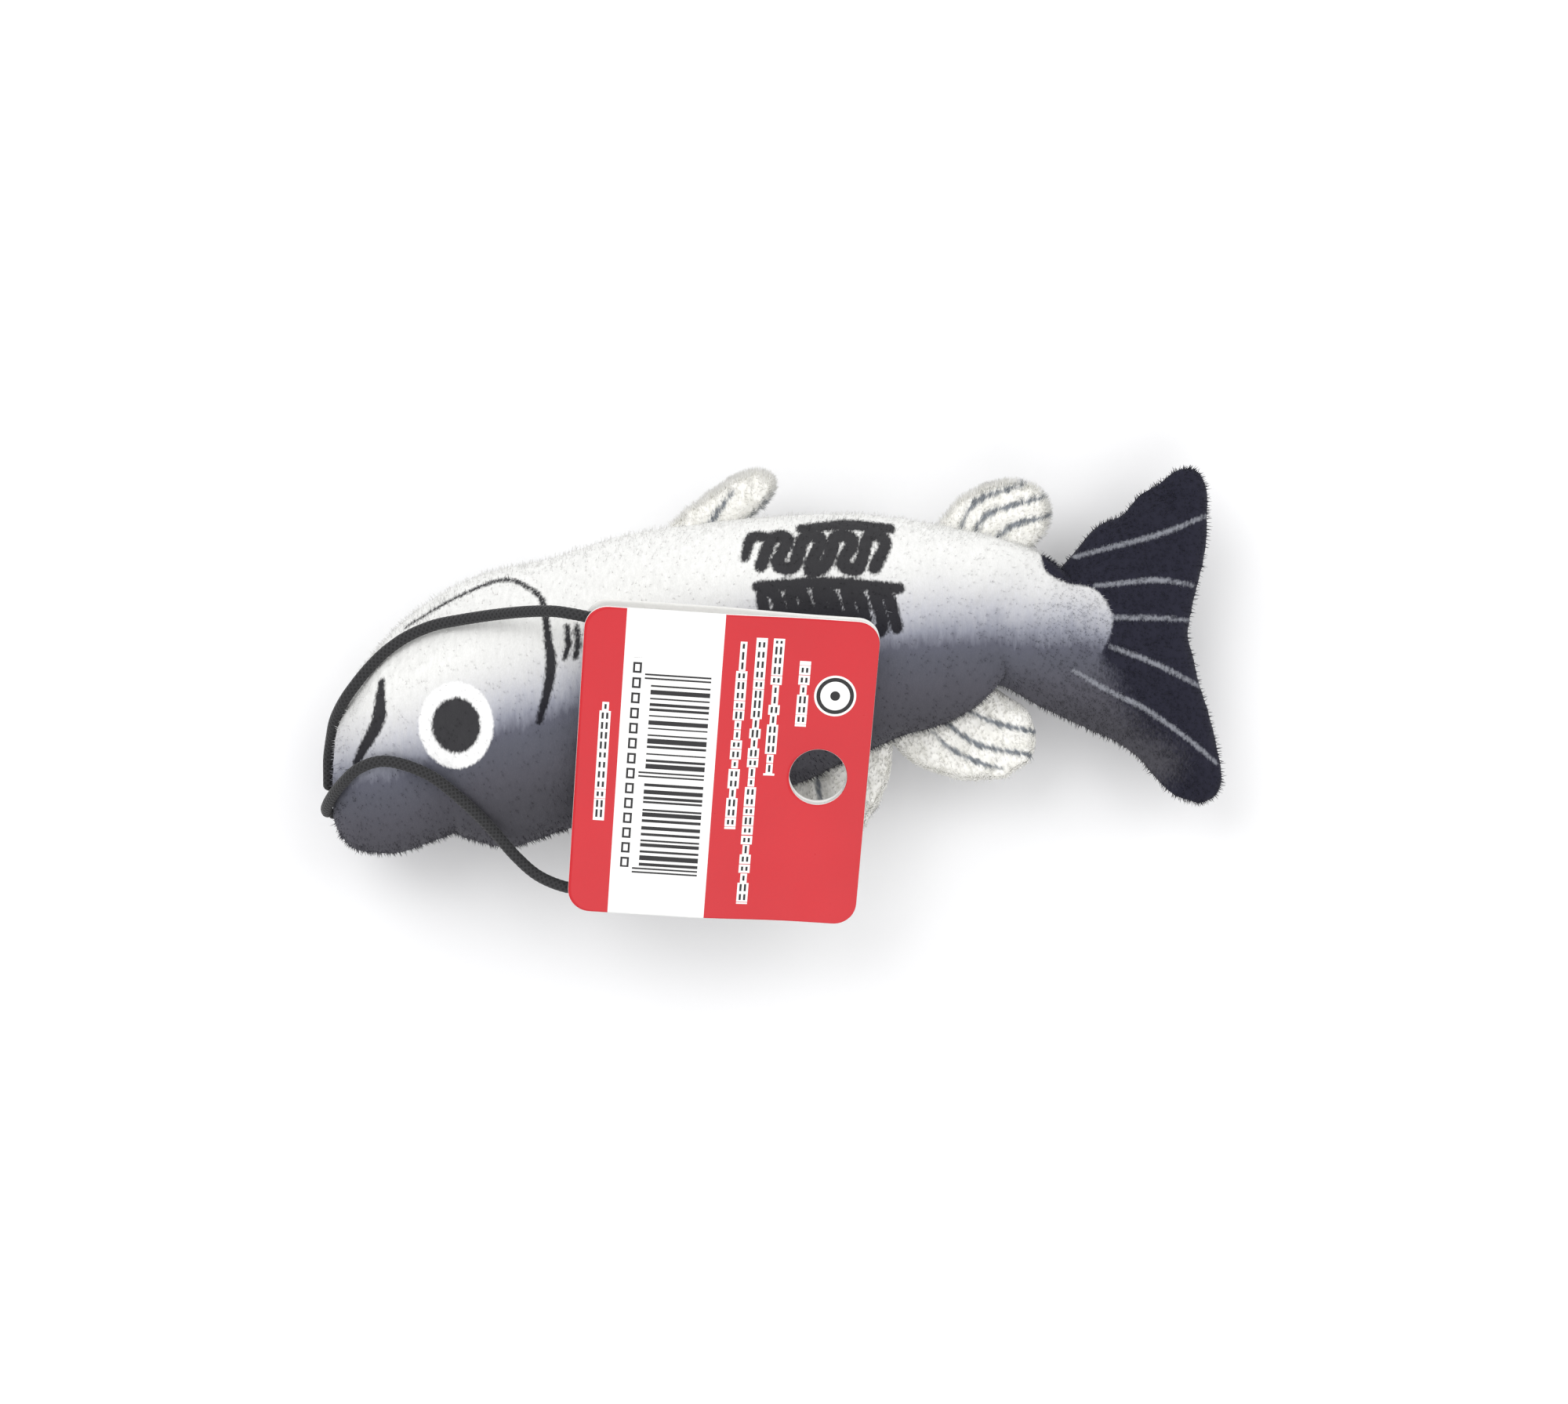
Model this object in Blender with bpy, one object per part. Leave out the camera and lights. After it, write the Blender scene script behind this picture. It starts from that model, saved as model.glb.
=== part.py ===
"""Stuffed plush carp charm: two sewn flanks, a flexing tail, four fins, an elastic loop and a two-ply card tag.

The carp lies on its rear flank: +X runs from snout to tail, +Y from back to belly, +Z up, and Z = 0 is the
surface it rests on. The origin is the middle of the bottom of the fish's own box.
"""

import math

import bmesh
import bpy
import numpy as np
from mathutils import Matrix, Vector

MM = 0.001

# Fish: overall sizes of the sewn and stuffed body
FISH_LENGTH = 138.6 * MM  # snout to tail tips
FISH_HEIGHT = 59.6 * MM  # lowest point of the back to the upper tail tip
SEAM_HEIGHT = 13.0 * MM  # height of the seam plane above the surface
HEAD_HALF = 12.5 * MM  # half thickness at the cheeks
TRUNK_HALF = 15.5 * MM  # half thickness at the fullest part of the trunk
WRIST_HALF = 6.4 * MM  # half thickness where the tail flexes
TAIL_HALF = 3.3 * MM  # half thickness of the tail blade
SNOUT_ROUND = 9.0 * MM  # length over which the snout rounds off
TAIL_ROUND = 2.5 * MM  # length over which the tail's hem rounds off
TRUNK_POWER = 2.2  # how full the trunk's cross-section is; 2 is an ellipse
TAIL_POWER = 5.0  # the tail's, which is flatter
THICKNESS = [  # share of the length from the snout, and half the stuffed thickness there
    (0.0, 0.86 * HEAD_HALF), (0.10, HEAD_HALF), (0.24, 0.5 * (HEAD_HALF + TRUNK_HALF)), (0.42, TRUNK_HALF),
    (0.56, TRUNK_HALF), (0.70, 0.5 * (TRUNK_HALF + WRIST_HALF) + 1.2 * MM), (0.80, WRIST_HALF),
    (0.88, 0.5 * (WRIST_HALF + TAIL_HALF)), (0.95, TAIL_HALF), (1.0, TAIL_HALF),
]

# Cloth, thread and clearances
PLUSH_WALL = 1.3 * MM  # backed plush cloth, pile included
THREAD = 0.4 * MM  # diameter of the sewing thread
CLEAR = 0.3 * MM  # gap between pieces that touch
SEAM_GAP = THREAD + 2 * CLEAR  # between the two cloths of a seam
FIN_GAP = 0.6 * MM  # fin root to the edge of the fish

# Tail hinge: the line between the two notches
TAIL_UP = 35.0
TAIL_DOWN = 12.0
FLEX_SPARE = 3.0  # spare angle left in the wedge that the tail folds into

# Fins
FIN_HALF = 1.5 * MM  # thickness of one fin cloth at its middle
FIN_STITCH = 0.07  # the fin's stitching in from its edge, as a share of the fin

# Elastic loop
CORD = 1.8 * MM
KNOT = 3.6 * MM
KNOT_INSET = 3.9 * MM  # from the snout's tip to the knot's middle
KNOT_DROP = -0.36912752  # share of the height, below the fish's axis
KNOT_PLACE = (KNOT_INSET - FISH_LENGTH / 2, KNOT_DROP * FISH_HEIGHT, SEAM_HEIGHT)
CORD_STEP = 2.4 * CORD  # between the points of the cord's tube

# Card tag
TAG_WIDTH = 44.5 * MM  # along the fish
TAG_HEIGHT = 48.4 * MM  # across the fish
TAG_CORNER = 3.4 * MM
CARD = 0.5 * MM
CARD_SPACE = CORD + 2 * CLEAR  # between the two cards, where the cord passes
TAG_TILT = 16.0  # the edge over the back hangs lower
TAG_LEAN = 2.0  # the edge towards the tail hangs lower
TAG_TURN = -4.5  # turn in its own plane
TAG_CENTRE = (-8.4 * MM, -16.6 * MM)
HOLE = 8.8 * MM
HOLE_EDGE = 7.6 * MM  # hole's centre to the card's tail-side edge
HOLE_DROP = 0.6 * MM  # hole's centre below the card's middle
GLUE = (9.0 * MM, 16.0 * MM)
GLUE_CENTRE = (-12.5 * MM, 0.5 * MM)

# Flat pattern of a flank: x as a share of FISH_LENGTH from the snout, y of FISH_HEIGHT from mid height
BELLY = [
    (0.031, -0.042), (0.054, 0.025), (0.079, 0.087), (0.130, 0.176), (0.186, 0.230), (0.245, 0.259),
    (0.314, 0.307), (0.365, 0.332), (0.467, 0.359), (0.558, 0.371), (0.623, 0.363), (0.712, 0.330),
    (0.780, 0.280), (0.819, 0.220), (0.843, 0.288), (0.865, 0.346), (0.892, 0.378), (0.910, 0.427),
    (0.933, 0.459), (0.952, 0.492), (0.968, 0.500),
]
BELLY_NOTCH = 0.819
BACK = [
    (0.006, -0.459), (0.016, -0.481), (0.030, -0.500), (0.066, -0.500), (0.110, -0.469), (0.135, -0.452),
    (0.151, -0.471), (0.191, -0.496), (0.222, -0.479), (0.262, -0.446), (0.330, -0.417), (0.418, -0.382),
    (0.514, -0.328), (0.571, -0.268), (0.627, -0.210), (0.677, -0.172), (0.712, -0.127), (0.741, -0.050),
    (0.773, -0.089), (0.804, -0.129), (0.848, -0.176), (0.882, -0.210), (0.910, -0.257), (0.927, -0.305),
    (0.947, -0.353), (0.968, -0.373), (0.981, -0.380),
]
BACK_NOTCH = 0.741
SNOUT = [
    (0.006, -0.459), (0.001, -0.421), (0.000, -0.369), (0.001, -0.276), (0.003, -0.214), (0.008, -0.151),
    (0.017, -0.089), (0.031, -0.042),
]
FORK = [
    (0.981, -0.380), (0.995, -0.359), (1.000, -0.320), (0.995, -0.249), (0.985, -0.129), (0.974, -0.050),
    (0.963, 0.046), (0.963, 0.093), (0.968, 0.149), (0.979, 0.268), (0.985, 0.419), (0.979, 0.480),
    (0.968, 0.500),
]

# Fins: edge, the root's two stations along it, then how far each tip corner lies along the root and out from it
FINS = {
    "pelvic_fin": (BELLY, 0.381, 0.466, (11.7 * MM, 6.9 * MM), (4.9 * MM, 4.3 * MM)),
    "anal_fin": (BELLY, 0.684, 0.781, (4.8 * MM, 8.6 * MM), (2.6 * MM, 6.8 * MM)),
    "dorsal_fin": (BACK, 0.494, 0.627, (2.1 * MM, 9.4 * MM), (-5.5 * MM, 9.1 * MM)),
    "adipose_fin": (BACK, 0.652, 0.733, (7.2 * MM, 10.7 * MM), (3.0 * MM, 9.9 * MM)),
}

# Route of the elastic loop, in millimetres: out of the snout seam, over the head, round in the tag and back
CORD_ROUTE = [
    (-70.7, -20.8, 13.0), (-70.7, -18.3, 13.1), (-70.6, -15.6, 13.6), (-70.0, -12.6, 15.0), (-69.0, -9.6, 17.6),
    (-67.1, -6.6, 20.5), (-64.9, -3.8, 21.9), (-62.7, -1.3, 22.6), (-60.1, 1.1, 23.2), (-56.8, 3.3, 23.7),
    (-52.8, 4.9, 24.5), (-48.6, 5.7, 25.8), (-43.4, 6.4, 27.9), (-38.2, 6.8, 30.9), (-34.0, 6.8, 33.6),
    (-31.0, 6.4, 34.9), (-28.4, 5.9, 34.8), (-23.7, 5.0, 34.3), (-18.8, 2.5, 33.4), (-14.8, -1.5, 32.1),
    (-12.3, -6.8, 30.5), (-11.3, -12.7, 28.8), (-11.8, -19.0, 27.0), (-13.9, -25.0, 25.4), (-17.4, -30.3, 24.0),
    (-22.2, -34.1, 23.1), (-27.3, -35.8, 22.8), (-32.3, -35.4, 23.1), (-36.7, -33.7, 22.9), (-40.1, -30.9, 22.6),
    (-43.0, -27.6, 22.8), (-45.9, -24.4, 23.8), (-49.2, -21.2, 25.0), (-52.7, -18.4, 25.7), (-56.6, -16.6, 26.2),
    (-60.5, -15.9, 26.2), (-64.1, -17.0, 25.1), (-66.8, -19.1, 22.8), (-69.1, -21.4, 19.4), (-70.6, -23.4, 15.8),
    (-70.8, -24.4, 13.0),
]

MATERIALS = {
    "flank_plush": ((0.62, 0.62, 0.65), 0.95),
    "tail_plush": ((0.03, 0.03, 0.05), 0.95),
    "fin_plush": ((0.83, 0.82, 0.78), 0.95),
    "fibre_fill": ((0.9, 0.9, 0.9), 1.0),
    "thread": ((0.75, 0.75, 0.78), 0.8),
    "elastic": ((0.03, 0.03, 0.03), 0.7),
    "tag_card": ((0.75, 0.06, 0.07), 0.35),
    "back_card": ((0.85, 0.85, 0.85), 0.6),
    "glue": ((0.8, 0.78, 0.7), 0.4),
}


def clear_scene():
    """Remove whatever the scene holds."""
    for obj in list(bpy.data.objects):
        bpy.data.objects.remove(obj, do_unlink=True)


def material(name):
    """Give the named finish, made once."""
    found = bpy.data.materials.get(name)
    if found:
        return found
    colour, roughness = MATERIALS[name]
    made = bpy.data.materials.new(name)
    made.use_nodes = True
    shader = made.node_tree.nodes["Principled BSDF"]
    shader.inputs["Base Color"].default_value = (*colour, 1.0)
    shader.inputs["Roughness"].default_value = roughness
    shader.inputs["Metallic"].default_value = 0.0
    return made


def add_object(name, data, finish, parent=None):
    """Link an object with its finish, under its parent if it has one."""
    obj = bpy.data.objects.new(name, data)
    bpy.context.collection.objects.link(obj)
    data.materials.append(material(finish))
    if parent:
        obj.parent = parent
    return obj


def add_pivot(name, where, z_turn=0.0):
    """Make an empty on a joint's axis, its X axis along that axis where it is turned."""
    pivot = bpy.data.objects.new(name, None)
    pivot.empty_display_size = 5 * MM
    pivot.location = where
    pivot.rotation_euler = (0.0, 0.0, z_turn)
    bpy.context.collection.objects.link(pivot)
    return pivot


def through(points, corners=(), steps=12):
    """Sample a Catmull-Rom spline through points, kept sharp at the corners' x values."""
    pts = np.asarray(points, float)
    cuts = [0] + [i for i, p in enumerate(pts) if any(abs(p[0] - c) < 1e-9 for c in corners)] + [len(pts) - 1]
    runs = [pts[a:b + 1] for a, b in zip(cuts[:-1], cuts[1:]) if b > a]
    t = np.linspace(0.0, 1.0, steps, endpoint=False)[:, None]
    out = []
    for run in runs:
        ext = np.vstack([2 * run[0] - run[1], run, 2 * run[-1] - run[-2]])
        for p0, p1, p2, p3 in zip(ext[:-3], ext[1:-2], ext[2:-1], ext[3:]):
            out.append(p1 + 0.5 * t * (p2 - p0) + t**2 * (p0 - 2.5 * p1 + 2 * p2 - 0.5 * p3)
                       + 0.5 * t**3 * (3 * (p1 - p2) + p3 - p0))
    return np.vstack(out + [pts[-1:]])


def spaced(count):
    """Give shares from 0 to 1 that crowd towards both ends."""
    return 0.5 - 0.5 * np.cos(np.linspace(0.0, math.pi, count))


class Side:
    """One side of a pattern, read by the share of the way along it."""

    def __init__(self, curve, key=None):
        """Take a sampled curve; key 0 or 1 spaces it by x or y, None by length."""
        self.curve = curve
        if key is None:
            steps = np.linalg.norm(np.diff(curve, axis=0), axis=1)
            self.share = np.concatenate([[0.0], np.cumsum(steps)])
        else:
            self.share = curve[:, key] - curve[0, key]
        self.share = self.share / self.share[-1]

    def at(self, share):
        """Give the points at these shares."""
        return np.stack([np.interp(share, self.share, self.curve[:, k]) for k in (0, 1)], -1)


class Pattern:
    """A four-sided flat pattern, filled between its sides (a Coons patch)."""

    def __init__(self, low, high, start, end):
        """Take the low and high sides, which both run from start to end."""
        self.low, self.high, self.start, self.end = low, high, start, end

    def at(self, s, v):
        """Give the plan points at shares s along and v across, as arrays of one shape."""
        s1, v1 = s[..., None], v[..., None]
        ruled = (1 - v1) * self.low.at(s) + v1 * self.high.at(s) + (1 - s1) * self.start.at(v)
        ruled = ruled + s1 * self.end.at(v)
        zero, one = np.zeros_like(s), np.ones_like(s)
        corners = (1 - v1) * ((1 - s1) * self.low.at(zero) + s1 * self.low.at(one))
        corners = corners + v1 * ((1 - s1) * self.high.at(zero) + s1 * self.high.at(one))
        return ruled - corners

    def widths(self, s):
        """Give the pattern's width across at shares s."""
        return np.linalg.norm(self.high.at(s) - self.low.at(s), axis=-1)


def scaled(points, corners=()):
    """Bring pattern shares to metres, with the box of the fish centred on the origin."""
    pts = through(points, corners)
    return np.stack([(pts[:, 0] - 0.5) * FISH_LENGTH, pts[:, 1] * FISH_HEIGHT], -1)


BELLY_CURVE = scaled(BELLY, (BELLY_NOTCH,))
BACK_CURVE = scaled(BACK, (BACK_NOTCH,))
FISH = Pattern(Side(BACK_CURVE, 0), Side(BELLY_CURVE, 0), Side(scaled(SNOUT), 1), Side(scaled(FORK), 1))


def edge_point(curve, station):
    """Give the point of an edge curve at a share of the fish's length."""
    x = (station - 0.5) * FISH_LENGTH
    return np.array([x, np.interp(x, curve[:, 0], curve[:, 1])])


def fish_stations(count):
    """Give shares along the fish, closer at both ends and exact at the two notches."""
    notches = []
    for curve, notch in ((BACK_CURVE, BACK_NOTCH), (BELLY_CURVE, BELLY_NOTCH)):
        x = (notch - 0.5) * FISH_LENGTH
        notches.append((x - curve[0, 0]) / (curve[-1, 0] - curve[0, 0]))
    even = spaced(count) * 0.35 + np.linspace(0.0, 1.0, count) * 0.65
    for notch in notches:
        even[np.argmin(abs(even - notch))] = notch
    return even


def half_thickness(s):
    """Give half the stuffed thickness at shares s along the fish."""
    smooth = through(THICKNESS)
    return np.interp(s, smooth[:, 0], smooth[:, 1])


def fish_dome(s, v, inset):
    """Give the height of the fish's flank above the seam plane, inset below its outer surface."""
    power = TRUNK_POWER + (TAIL_POWER - TRUNK_POWER) * np.clip((s - 0.72) / 0.2, 0.0, 1.0)
    across = np.sqrt(np.clip(1.0 - np.abs(2 * v - 1) ** power, 0.0, 1.0))
    from_snout = np.clip(s * FISH_LENGTH / (SNOUT_ROUND - inset), 0.0, 1.0)
    from_fork = np.clip((1 - s) * FISH_LENGTH / TAIL_ROUND, 0.0, 1.0)
    ends = np.sqrt(1 - (1 - from_snout) ** 2) * np.sqrt(1 - (1 - from_fork) ** 2)
    return (half_thickness(s) - SEAM_GAP / 2 - inset) * across * ends


def fish_grid(inset, length_steps=34, cross_steps=13):
    """Give the plan points and heights of one flank, moved in by inset from the seam and the surface."""
    s, v = np.meshgrid(fish_stations(length_steps), spaced(cross_steps), indexing="ij")
    end_share = inset / FISH_LENGTH
    s_in = end_share + (1 - 2 * end_share) * s
    side_share = np.clip(inset / FISH.widths(s_in), 0.0, 0.4)
    v_in = side_share + (1 - 2 * side_share) * v
    return FISH.at(s_in, v_in), fish_dome(s, v, inset)


def add_grid(bm, plan, z):
    """Add a grid of vertices and its faces, facing up, and return the vertices by row."""
    rows = [[bm.verts.new((*plan[i, j], z[i, j])) for j in range(plan.shape[1])] for i in range(plan.shape[0])]
    for low, high in zip(rows[:-1], rows[1:]):
        for j in range(len(low) - 1):
            bm.faces.new((low[j], high[j], high[j + 1], low[j + 1]))
    return rows


def rim(rows):
    """List a grid's border vertices in order."""
    return rows[0][:-1] + [r[-1] for r in rows[:-1]] + rows[-1][:0:-1] + [r[0] for r in rows[:0:-1]]


def join_rims(bm, one, other):
    """Close the band between two borders."""
    ring = list(zip(one, other))
    for (a, b), (c, d) in zip(ring, ring[1:] + ring[:1]):
        bm.faces.new((a, c, d, b))


def finish_mesh(bm, name):
    """Point the faces outwards and turn the bmesh into a mesh."""
    bmesh.ops.recalc_face_normals(bm, faces=bm.faces)
    if bm.calc_volume(signed=True) < 0:
        bmesh.ops.reverse_faces(bm, faces=bm.faces)
    mesh = bpy.data.meshes.new(name)
    bm.to_mesh(mesh)
    bm.free()
    return mesh


def cut(bm, point, normal):
    """Cut away what lies on the normal's side of a plane and close the cut."""
    geometry = bm.verts[:] + bm.edges[:] + bm.faces[:]
    bmesh.ops.bisect_plane(bm, geom=geometry, plane_co=point, plane_no=normal, clear_outer=True, dist=1e-7)
    border = [e for e in bm.edges if e.is_boundary]
    filled = bmesh.ops.holes_fill(bm, edges=border, sides=0)["faces"]
    bmesh.ops.triangulate(bm, faces=filled)


TAIL_LOW = edge_point(BACK_CURVE, BACK_NOTCH)
TAIL_HIGH = edge_point(BELLY_CURVE, BELLY_NOTCH)
TAIL_AXIS = (TAIL_HIGH - TAIL_LOW) / np.linalg.norm(TAIL_HIGH - TAIL_LOW)
TAILWARD = np.array([TAIL_AXIS[1], -TAIL_AXIS[0]])
TAIL_PIVOT = (TAIL_HIGH + TAIL_LOW) / 2


def part_at_tail(bm, tail_side, upper):
    """Keep the body's or the tail's side of the wedge in which the tail folds."""
    fold = (TAIL_UP if upper else TAIL_DOWN) / 2 + FLEX_SPARE
    lean = math.tan(math.radians(fold)) * (1 if upper else -1)
    side = 1 if tail_side else -1
    point = Vector((*(TAIL_PIVOT + TAILWARD * side * CLEAR), SEAM_HEIGHT))
    normal = Vector((*(-side * TAILWARD), lean))
    cut(bm, point, normal.normalized())


def flank_mesh(name, upper, tail_side):
    """Build one plush flank: a hollow half shell, parted at the tail's flex line."""
    bm = bmesh.new()
    facing = 1 if upper else -1
    seam = SEAM_HEIGHT + facing * SEAM_GAP / 2
    rims = []
    for inset in (0.0, PLUSH_WALL):
        plan, height = fish_grid(inset)
        z = np.maximum(seam + facing * height, PLUSH_WALL) if inset else seam + facing * height
        rims.append(rim(add_grid(bm, plan, z)))
    join_rims(bm, *rims)
    bmesh.ops.recalc_face_normals(bm, faces=bm.faces)
    if not upper:
        cut(bm, Vector((0.0, 0.0, 0.0)), Vector((0.0, 0.0, -1.0)))
    part_at_tail(bm, tail_side, upper)
    return finish_mesh(bm, name)


def filling_mesh(name, tail_side):
    """Build the fibre fill of the body or the tail, clear of the cloth round it."""
    bm = bmesh.new()
    inset = PLUSH_WALL + CLEAR
    plan, height = fish_grid(inset, 28, 9)
    top = rim(add_grid(bm, plan, SEAM_HEIGHT + height))
    bottom = rim(add_grid(bm, plan, np.maximum(SEAM_HEIGHT - height, inset)))
    join_rims(bm, top, bottom)
    bmesh.ops.remove_doubles(bm, verts=bm.verts, dist=1e-6)
    bmesh.ops.recalc_face_normals(bm, faces=bm.faces)
    part_at_tail(bm, tail_side, True)
    part_at_tail(bm, tail_side, False)
    if not tail_side:
        leave_room_for_knot(bm)
    return finish_mesh(bm, name)


def leave_room_for_knot(bm):
    """Cut the fill's front corner away where the loop's knot sits."""
    normal = Vector((-1.0, 0.0, 0.0))
    cut(bm, Vector(KNOT_PLACE) + Vector((KNOT / 2 + CLEAR, 0.0, 0.0)), normal)


def thread_curve(name, points):
    """Make a round thread along points as a filled tube."""
    curve = bpy.data.curves.new(name, "CURVE")
    curve.dimensions = "3D"
    curve.bevel_depth = THREAD / 2
    curve.bevel_resolution = 1
    curve.use_fill_caps = True
    spline = curve.splines.new("POLY")
    spline.points.add(len(points) - 1)
    for spot, place in zip(spline.points, points):
        spot.co = (*place, 1.0)
    return curve


def seam_line(tail_side):
    """List the plan points of the seam on one side of the flex line, in order."""
    plan, _ = fish_grid(PLUSH_WALL / 2, 30, 9)
    loop = np.array(rim([list(row) for row in plan]))
    reach = (loop - TAIL_PIVOT) @ TAILWARD
    mine = reach > 2 * CLEAR if tail_side else reach < -2 * CLEAR
    first = next(i for i in range(len(loop)) if mine[i] and not mine[i - 1])
    order = [(first + i) % len(loop) for i in range(len(loop))]
    return loop[[i for i in order if mine[i]]]


def build_fish():
    """Make the body's and the tail's cloth, fill and seam thread."""
    heading = math.atan2(TAIL_AXIS[1], TAIL_AXIS[0])
    pivot = add_pivot("tail_pivot", (*TAIL_PIVOT, SEAM_HEIGHT), heading)
    bpy.context.view_layer.update()
    for part, tail_side in (("body", False), ("tail", True)):
        parent = pivot if tail_side else None
        cloth = "tail_plush" if tail_side else "flank_plush"
        pieces = [
            (part + "_front_panel", flank_mesh(part + "_front_panel", True, tail_side), cloth),
            (part + "_rear_panel", flank_mesh(part + "_rear_panel", False, tail_side), cloth),
            (part + "_stuffing", filling_mesh(part + "_stuffing", tail_side), "fibre_fill"),
        ]
        line = [(x, y, SEAM_HEIGHT) for x, y in seam_line(tail_side)]
        pieces.append((part + "_seam_thread", thread_curve(part + "_seam_thread", line), "thread"))
        for name, data, finish in pieces:
            obj = add_object(name, data, finish, parent)
            if parent:
                obj.matrix_parent_inverse = parent.matrix_world.inverted()
            if isinstance(data, bpy.types.Mesh):
                data.shade_smooth()


def bowed(start, end, out, bow, steps=10):
    """Give points from start to end, bowed to the side that out points to."""
    t = np.linspace(0.0, 1.0, steps)[:, None]
    return start + (end - start) * t + out * bow * 4 * t * (1 - t)


def fin_pattern(edge, root_start, root_end, front_tip, rear_tip):
    """Give a fin's pattern, its root's two ends and the direction out of the body."""
    curve = BELLY_CURVE if edge is BELLY else BACK_CURVE
    side = 1 if edge is BELLY else -1
    stations = np.linspace(root_start, root_end, 9)
    root = np.array([edge_point(curve, s) for s in stations])
    slope = np.gradient(root, axis=0)
    normals = np.stack([-slope[:, 1], slope[:, 0]], -1) * side
    root = root + normals / np.linalg.norm(normals, axis=1, keepdims=True) * FIN_GAP
    chord = (root[-1] - root[0]) / np.linalg.norm(root[-1] - root[0])
    out = np.array([-chord[1], chord[0]]) * side
    front = root[0] + chord * front_tip[0] + out * front_tip[1]
    rear = root[-1] + chord * rear_tip[0] + out * rear_tip[1]
    lead = bowed(root[0], front, out * 0.6 - chord * 0.8, 0.08 * front_tip[1])
    trail = bowed(root[-1], rear, chord, 0.06 * rear_tip[1])
    tip = bowed(front, rear, out, 0.13 * np.linalg.norm(rear - front))
    return Pattern(Side(root), Side(tip), Side(lead), Side(trail)), root, out


def fin_cloth(name, pattern, upper, rows=9, columns=9):
    """Build one cloth of a fin: flat inside, domed outside."""
    bm = bmesh.new()
    s, v = np.meshgrid(spaced(rows), spaced(columns), indexing="ij")
    plan = pattern.at(s, v)
    dome = np.sqrt(np.clip(1 - np.abs(2 * s - 1) ** 4, 0, 1) * np.clip(1 - np.abs(2 * v - 1) ** 4, 0, 1))
    facing = 1 if upper else -1
    seam = SEAM_HEIGHT + facing * SEAM_GAP / 2
    rows_made = add_grid(bm, plan, seam + facing * FIN_HALF * dome)
    bm.faces.new(rim(rows_made))
    return finish_mesh(bm, name)


def build_fins():
    """Make the four fins, each two cloths and a seam thread on its own pivot."""
    for name, (edge, start, end, front_tip, rear_tip) in FINS.items():
        pattern, root, _ = fin_pattern(edge, start, end, front_tip, rear_tip)
        along = root[-1] - root[0]
        pivot = add_pivot(name + "_pivot", (*((root[0] + root[-1]) / 2), SEAM_HEIGHT),
                          math.atan2(along[1], along[0]))
        bpy.context.view_layer.update()
        t = np.linspace(FIN_STITCH, 1 - FIN_STITCH, 9)
        near, far = np.full_like(t, FIN_STITCH), np.full_like(t, 1 - FIN_STITCH)
        path = [(near, t), (t[1:], far[1:]), (far[1:], t[-2::-1])]
        line = [(x, y, SEAM_HEIGHT) for s, v in path for x, y in pattern.at(s, v)]
        pieces = [
            (name + "_front_cloth", fin_cloth(name + "_front_cloth", pattern, True), "fin_plush"),
            (name + "_rear_cloth", fin_cloth(name + "_rear_cloth", pattern, False), "fin_plush"),
            (name + "_seam_thread", thread_curve(name + "_seam_thread", line), "thread"),
        ]
        for piece, data, finish in pieces:
            obj = add_object(piece, data, finish, pivot)
            obj.matrix_parent_inverse = pivot.matrix_world.inverted()
            if isinstance(data, bpy.types.Mesh):
                data.shade_smooth()


def tag_frame():
    """Give the tag's placing: its tilt, and the height at which its back card just clears the flank."""
    turn = Matrix.Rotation(math.radians(TAG_TILT), 4, "X") @ Matrix.Rotation(math.radians(TAG_LEAN), 4, "Y")
    turn = turn @ Matrix.Rotation(math.radians(TAG_TURN), 4, "Z")
    plan, height = fish_grid(0.0, 90, 45)
    points = np.concatenate([plan, (SEAM_HEIGHT + SEAM_GAP / 2 + height)[..., None]], -1).reshape(-1, 3)
    centre = np.array([*TAG_CENTRE, SEAM_HEIGHT + TRUNK_HALF])
    for _ in range(3):
        local = (points - centre) @ np.array(turn.to_3x3())
        under = (abs(local[:, 0]) < TAG_WIDTH / 2) & (abs(local[:, 1]) < TAG_HEIGHT / 2)
        rise = local[under, 2].max() + CLEAR + CARD + CARD_SPACE / 2
        centre[2] += rise / turn[2][2]
    return Matrix.Translation(Vector(centre)) @ turn


def card_mesh(name, base, thick=CARD, size=(TAG_WIDTH, TAG_HEIGHT), corner=TAG_CORNER, arc=6):
    """Build a flat card with round corners, its underside at height base in the tag's own frame."""
    bm = bmesh.new()
    outline = []
    for quarter in range(4):
        sx, sy = ((1, 1), (-1, 1), (-1, -1), (1, -1))[quarter]
        centre = Vector((sx * (size[0] / 2 - corner), sy * (size[1] / 2 - corner), base))
        for k in range(arc + 1):
            angle = math.radians(90 * quarter + 90 * k / arc)
            outline.append(bm.verts.new(centre + Vector((math.cos(angle), math.sin(angle), 0)) * corner))
    face = bm.faces.new(outline)
    sheet = bmesh.ops.extrude_face_region(bm, geom=[face])
    upper = [g for g in sheet["geom"] if isinstance(g, bmesh.types.BMVert)]
    bmesh.ops.translate(bm, vec=(0, 0, thick), verts=upper)
    return finish_mesh(bm, name)


def hang_hole():
    """Make the cutter of the hang hole through both cards."""
    bm = bmesh.new()
    bmesh.ops.create_cone(bm, cap_ends=True, segments=32, radius1=HOLE / 2, radius2=HOLE / 2, depth=20 * MM,
                          matrix=Matrix.Translation((TAG_WIDTH / 2 - HOLE_EDGE, -HOLE_DROP, 0.0)))
    cutter = bpy.data.objects.new("hang_hole_cutter", finish_mesh(bm, "hang_hole_cutter"))
    bpy.context.collection.objects.link(cutter)
    cutter.hide_render = True
    cutter.display_type = "WIRE"
    return cutter


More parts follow.
